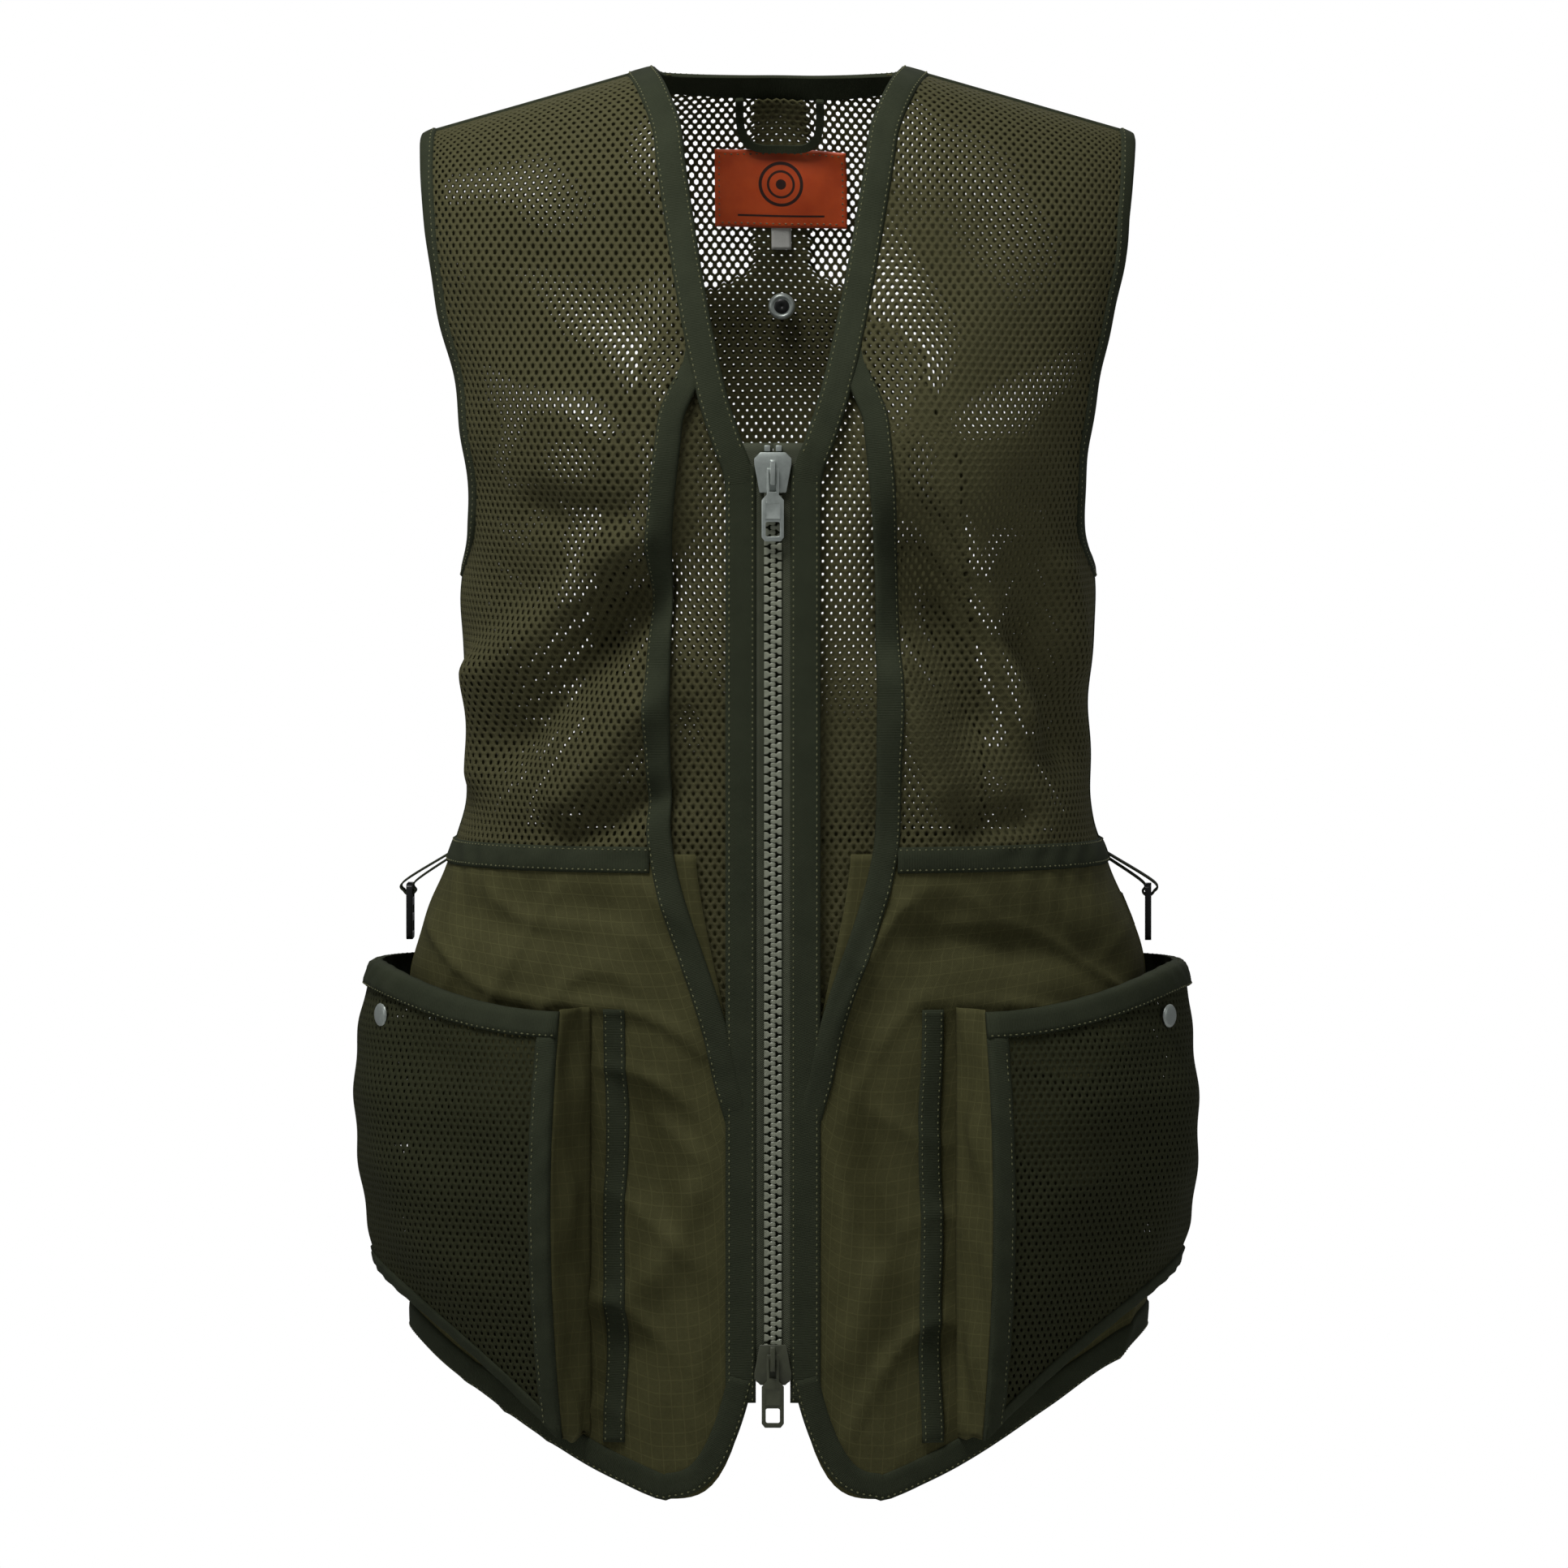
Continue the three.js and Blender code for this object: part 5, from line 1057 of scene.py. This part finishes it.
# The pocket bag is the same mesh as the fronts, but with darker colours: painted shade for the shadow the
# bag hangs in.
pocket_shaded_finish = knit("pocket_mesh_painted_shade", srgb(30, 32, 20), srgb(72, 74, 48), 0.85, 0.15)
fine = np.linspace(0, 1, 200)
middle_line = pocket_point(fine ** 2, 0.5, 0, 1)
pocket_arc = np.concatenate([[0], np.cumsum(np.linalg.norm(np.diff(middle_line, axis=0), axis=1))])
for hand, sign in (("left", 1), ("right", -1)):
    def shares(c):
        across = np.interp(c[..., 0], pocket_arc, fine ** 2)
        foot = pocket_foot(across)
        return across, (c[..., 1] - foot) / (pocket_mouth(across) - foot)

    def pocket_spot(c):
        across, up = shares(c)
        return pocket_point(across, up, 0, sign), np.stack([c[..., 0], up], -1)

    def pocket_away(c):
        across, up = shares(c)
        return pocket_point(across, up, 1, sign) - pocket_point(across, up, 0, sign)

    def pocket_cut(_, spot):
        return (spot[..., 0] < pocket_arc[-1] - 0.002) & (spot[..., 1] > 0.02) & (spot[..., 1] < 0.985)

    bag, size, area = net(f"{hand}_pocket_mesh", -sign, (0.002, pocket_arc[-1]), (0.02, 0.27),
                          pocket_cut, MESH_LAYER, pocket_shaded_finish, lambda p: 0.74, pocket_spot, pocket_away)
    on_vest(bag, "mesh_cloth", f"{hand}_pocket_panel")
    sheets.append((bag, size, area, "hung"))

    def pocket_strip(name, across, up, layer, *nodes):
        """A tape on the pocket between two matching lines of places."""
        low, high = layer
        grids = []
        for lifts in (low + (high - low) * TAPE_CROWN, np.full(TAPE_CROWN.shape, low)):
            shares_of = (TAPE_SECTION + 1) / 2
            a = across[0][:, None] + (across[1] - across[0])[:, None] * shares_of
            u = up[0][:, None] + (up[1] - up[0])[:, None] * shares_of
            pucker = 0.0004 * np.sin(90 * a + 60 * u)
            grids.append(in_frame(pocket_point(a, u, lifts + pucker, sign)))
        on_vest(slab(name, *grids, tape), "tape", *nodes)

    def pocket_stitches(places, beside, lift):
        """A row of stitches on the pocket, facing out as the places beside them do."""
        facing = pocket_point(*beside, 1, sign) - pocket_point(*beside, 0, sign)
        line_up(in_frame(pocket_point(*places, lift, sign)), facing)

    along = 1 - (1 - np.linspace(0, 1, 70)) ** 1.6
    share = MOUTH_BINDING / (pocket_mouth(along) - pocket_foot(along))
    pocket_strip(f"{hand}_pocket_rim", (along, along), (1 - share, 1 + 0 * share), MOUTH_LAYER,
                 f"{hand}_pocket_mouth_binding")
    pocket_stitches((along, 1 - share * 0.88), (along, 1 - share), MOUTH_LAYER[1])
    ups = np.linspace(0, 1 - share[0] * 0.9, 60)
    edge = EDGE_BINDING / POCKET_GIRTH
    pocket_strip(f"{hand}_pocket_front_edging", (0 * ups, 0 * ups + edge), (ups, ups), FRONT_EDGE_LAYER,
                 f"{hand}_pocket_edge_binding")
    pocket_stitches((edge * 0.8, ups), (edge, ups), FRONT_EDGE_LAYER[1])
    foot_along = np.linspace(0, 0.96, 60)
    foot_share = FOOT_BINDING / (pocket_mouth(foot_along) - pocket_foot(foot_along))
    pocket_strip(f"{hand}_pocket_foot_edging", (foot_along, foot_along), (0 * foot_share, foot_share),
                 FOOT_LAYER)

    # The gusset: down beside the body tape and on under the foot, with the creases of a folded bellows.
    fold_x = BODY_TAPE_X + BODY_TAPE / 2 + 0.004
    fold_x += (POCKET_FRONT_X - fold_x) * 0.3
    ups = np.linspace(1, 0, 70)
    h = FOOT_HEIGHT + (MOUTH_HEIGHT - FOOT_HEIGHT) * ups + 0.001
    base = body(np.full(70, fold_x), h, -1)
    roots = base + outward(base) * GUSSET_ROOT
    free = pocket_point(np.zeros(70), ups, GUSSET_TUCK, 1)
    free[:, 2] = h
    across_foot = np.linspace(0, 0.94, 60)[1:]
    at_foot = 0 * across_foot
    under = pocket_point(across_foot, at_foot, 0.0009 - pocket_stand(across_foot, at_foot), 1)
    under_free = pocket_point(across_foot, at_foot, -0.0009, 1)
    roots = np.concatenate([roots, under + np.array([0, 0, 0.002])])
    free = np.concatenate([free, under_free + np.array([0, 0, 0.002])])
    shares_out = np.linspace(0, 1, 15)[:, None]
    grid = roots[:, None] * (1 - shares_out) + free[:, None] * shares_out
    along_g = np.linspace(0, 1, len(roots))[:, None]
    crossing = np.cross(np.gradient(grid, axis=0), np.gradient(grid, axis=1))
    crossing /= np.linalg.norm(crossing, axis=-1, keepdims=True)
    s = shares_out[:, 0]
    crease = (0.0022 * np.sin(2.2 * math.pi * s + 0.5) * np.sin(21 * along_g + 1.3 * s + sign)
              + 0.0013 * np.sin(47 * along_g - 3 * s + 2 * sign)) * np.sin(math.pi * s)
    grid = grid + crossing * crease[..., None]
    flip = np.array([sign, 1, 1])
    gusset = slab(f"{hand}_gusset", in_frame((grid + crossing * GUSSET_HALF_THICKNESS) * flip),
                  in_frame((grid - crossing * GUSSET_HALF_THICKNESS) * flip), ripstop)
    on_vest(gusset, "ripstop", f"{hand}_pocket_gusset")
    sheets.append((gusset, (0.050, 0.42), cloth_area(grid), "folded"))

    h = np.linspace(FOOT_HEIGHT - 0.002, MOUTH_HEIGHT, 60)
    route = smooth(body(sign * (BODY_TAPE_X + 0.0008 * np.sin(h * 60)), h, -1))
    trim(f"{hand}_body_strip", route, BODY_TAPE, BODY_TAPE_LAYER, f"{hand}_pocket_body_tape")
    stitch_edges(route, BODY_TAPE, SHALLOW_INSET, BODY_TAPE_LAYER[1])
    sew(f"{hand}_pocket_stitches")
    dressed(f"{hand}_pocket_snap_cap", f"{hand}_stud_cap", nickel, "nickel", "vest", 0.0002)
    dressed(f"{hand}_pocket_snap_socket", f"{hand}_stud_socket", nickel, "nickel", "vest", 0.0002)

# ---- Label, size tab, hanging loop and back stud ----
# Inside the back neck: a woven orange satin label with a stitched border and a plain ringed target,
# a blank white tab under it, a rolled tape loop to hang the vest by, and a ring stud lower down.
LABEL_WIDTH, LABEL_HEIGHT, LABEL_FOOT = 0.067, 0.040, 0.629
SIZE_TAB_WIDTH, SIZE_TAB_HEIGHT, STUD_RISE = 0.010, 0.011, 0.0009
LOOP_WIDTH, LOOP_DROP, LOOP_TAPE, LOOP_LAYER = 0.043, 0.027, 0.004, (-0.0078, -0.0058)
LABEL_LAYER, LABEL_STITCH_LIFT, LABEL_SEAM = (-0.0043, -0.0049), -0.0050, 0.0022
SATIN_PITCH = 0.0004

satin = Finish("orange_satin", Roughness=0.36, Sheen_Weight=0.2)
label_across, label_up = satin.places()
shine = label_up.wave(SATIN_PITCH)


def ring_mark(wire_x, wire_y, radius, width):
    """1 on a ring round the middle of the motif."""
    far = (wire_x * wire_x + wire_y * wire_y).maths("SQRT")
    return (far - radius).maths("ABSOLUTE").maths("LESS_THAN", width)


mark_x, mark_y = label_across - LABEL_WIDTH / 2, label_up - LABEL_HEIGHT * 0.56
marks = ring_mark(mark_x, mark_y, 0.0105, 0.0008) + ring_mark(mark_x, mark_y, 0.0065, 0.0006)
marks = marks + ring_mark(mark_x, mark_y, 0.0012, 0.0014)
bar = (label_up - 0.0062).maths("ABSOLUTE").maths("LESS_THAN", 0.0005)
bar = bar * mark_x.maths("ABSOLUTE").maths("LESS_THAN", 0.022)
marks = (marks + bar).maths("MINIMUM", 1)
cloth_tint = satin.mixed(satin.noise(90, 4), srgb(214, 68, 14), srgb(250, 104, 34))
satin.colour(satin.mixed(marks, cloth_tint, srgb(52, 24, 14)))
satin.bump(shine * 0.5 + satin.noise(60, 3) * 1.5 + marks * 0.8, 0.0003, 0.4)


def label_curl(u, v):
    """How far the label stands off its seams: a slight wave, and a lifted lower corner."""
    return 0.0006 * np.sin(5 * u + 4 * v) + 0.0022 * np.clip(u, 0, 1) ** 2 * (1 - v)


white = Finish("white_tape", Roughness=0.8)
white.colour(white.mixed(white.noise(200, 3), srgb(196, 196, 188), srgb(224, 224, 218)))
white.bump(white.noise(1200), 0.0002, 0.4)

u = np.linspace(-0.5, 0.5, 41)
v = np.linspace(0, 1, 27)[:, None]
base = body(u * LABEL_WIDTH, LABEL_FOOT + v * LABEL_HEIGHT, 1)
flat = np.stack(np.broadcast_arrays((u + 0.5) * LABEL_WIDTH, v * LABEL_HEIGHT), -1)
label = slab("neck_label", *(cloth_points(base, lift - label_curl(u, v)) for lift in LABEL_LAYER),
             satin, flat)
on_vest(label, "orange_satin", "label")
sheets.append((label, (LABEL_WIDTH, LABEL_HEIGHT), LABEL_WIDTH * LABEL_HEIGHT, "laid"))
a, b = LABEL_WIDTH / 2 - LABEL_SEAM, (LABEL_FOOT + LABEL_SEAM, LABEL_FOOT + LABEL_HEIGHT - LABEL_SEAM)
corners = [(-a, b[0]), (a, b[0]), (a, b[1]), (-a, b[1]), (-a, b[0])]
for (x0, h0), (x1, h1) in zip(corners, corners[1:]):
    t = np.linspace(0, 1, 20)
    line = body(x0 + (x1 - x0) * t, h0 + (h1 - h0) * t, 1)
    lift = LABEL_STITCH_LIFT - label_curl(line[:, 0] / LABEL_WIDTH, (line[:, 2] - LABEL_FOOT) / LABEL_HEIGHT)
    line_up(cloth_points(line, lift), -outward(line))
label_stitches = sew("label_stitches", "orange_satin")

u = np.linspace(-0.5, 0.5, 7)
v = np.linspace(0, 1, 9)[:, None]
base = body(u * SIZE_TAB_WIDTH, LABEL_FOOT + 0.001 - v * (SIZE_TAB_HEIGHT + 0.001), 1)
hang = 0.0036 + 0.001 * v ** 2
tab = slab("size_tag", cloth_points(base, -hang), cloth_points(base, -hang - 0.0005), white)
on_vest(tab, "white_tape", "size_tab")
sheets.append((tab, (SIZE_TAB_WIDTH, SIZE_TAB_HEIGHT + 0.001), None, "hung"))

t = np.linspace(0, 1, 60) * math.pi
x = LOOP_WIDTH / 2 * np.sign(np.cos(t)) * np.abs(np.cos(t)) ** 0.5
h = BACK_NECK_HEIGHT - 0.009 - LOOP_DROP * np.sin(t) ** 0.6
route = smooth(body(x, h, 1), 0.0015)
hanger = ribbon("hanger_loop", route, LOOP_TAPE, LOOP_LAYER)
on_vest(hanger, "tape", "hanging_loop", rides="hanging_loop")
dressed("back_snap", "back_stud", nickel, "nickel", "vest", 0.0002)
low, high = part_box("back_snap")
stud_middle = ((low.x + high.x) / 2, low.y + 0.0003, (low.z + high.z) / 2)
# Black plastic for the buckles, also used as painted shade in the middle of the back stud.
black = Finish("black_plastic", Roughness=0.38)
black.colour(black.mixed(black.noise(120, 4), srgb(16, 17, 16), srgb(30, 31, 30)))
black.bump(black.noise(1400), 0.0001, 0.4)
# The nickel ring is the stud's rim. The black ring inside it is painted shade, the darkness of the stud's
# open centre.
for name, major, minor, finish, slot in (
    ("back_stud_rim", 0.0052, 0.0011, nickel, "nickel"),
    ("back_stud_shade_well", 0.0020, 0.0020, black, "black_plastic"),
):
    bpy.ops.object.select_all(action="DESELECT")
    bpy.ops.mesh.primitive_torus_add(major_radius=major, minor_radius=minor, major_segments=40,
                                     minor_segments=12, location=stud_middle,
                                     rotation=(math.pi / 2, 0, 0))
    ring = bpy.context.object
    ring.name = name
    ring.scale = (1, 1, STUD_RISE / minor)
    bpy.ops.object.transform_apply(location=True, rotation=True, scale=True)
    bpy.ops.object.shade_smooth()
    ring.data.materials.append(finish.material)
    on_vest(ring, slot)

# ---- Side adjusters ----
# A grosgrain strap across each side of the lower back, a tab sewn under the waist tape, and a black
# moulded ladder buckle. The tab goes through the buckle's upper slot and back to the waist.
STRAP_WIDTH, STRAP_HEIGHT, STRAP_LAYER = 0.020, 0.284, (0.0012, 0.0032)
TAB_CLEARANCE, TAB_HALF_THICKNESS, TAB_MARGIN = 0.0012, 0.00045, 0.0045
for hand, sign in (("left", 1), ("right", -1)):
    route = smooth(around(sign * np.linspace(104, 150, 30), STRAP_HEIGHT))
    trim(f"{hand}_pull_strap", route, STRAP_WIDTH, STRAP_LAYER, f"{hand}_adjuster_strap")
    stitch_edges(route, STRAP_WIDTH, 0.0018, STRAP_LAYER[1])
    low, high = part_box(f"{hand}_side_buckle")
    near, far = sorted((abs(low.x), abs(high.x)))
    root = around(100, WAIST_HEIGHT - 0.003)
    inner, outer = near - TAB_CLEARANCE, far + TAB_CLEARANCE
    loop = [(root[0] + 0.0012, root[2] - SEAT), (inner, high.z + 0.001), (inner, high.z - 0.004),
            ((near + far) / 2, high.z - 0.0058), (outer, high.z - 0.004), (outer, high.z + 0.001),
            (root[0] + 0.0030, root[2] - SEAT + 0.001)]
    route = smooth([(sign * x, (low.y + high.y) / 2, z) for x, z in loop], 0.0008)
    along = np.gradient(route, axis=0)
    away = np.cross(along, (0, 1, 0))
    away *= TAB_HALF_THICKNESS / np.linalg.norm(away, axis=1, keepdims=True)
    breadth = np.zeros((1, 9, 3))
    breadth[0, :, 1] = TAPE_SECTION * ((high.y - low.y) / 2 - TAB_MARGIN)
    tab = slab(f"{hand}_tab", route[:, None] + away[:, None] + breadth,
               route[:, None] - away[:, None] + breadth, tape)
    on_vest(tab, "tape", f"{hand}_buckle_tab")
    dressed(f"{hand}_side_buckle", f"{hand}_buckle", black, "black_plastic", f"{hand}_side_buckle",
            0.0005)
sew("strap_stitches")

# ---- What each cloth piece was cut to ----
# The flat width, length and cloth area of each cut piece, with the area held to no more than width times
# length.
for piece, (width, length), area, held in sheets:
    width, length = float(width), float(length)
    if area is not None:
        area = min(float(area), width * length)
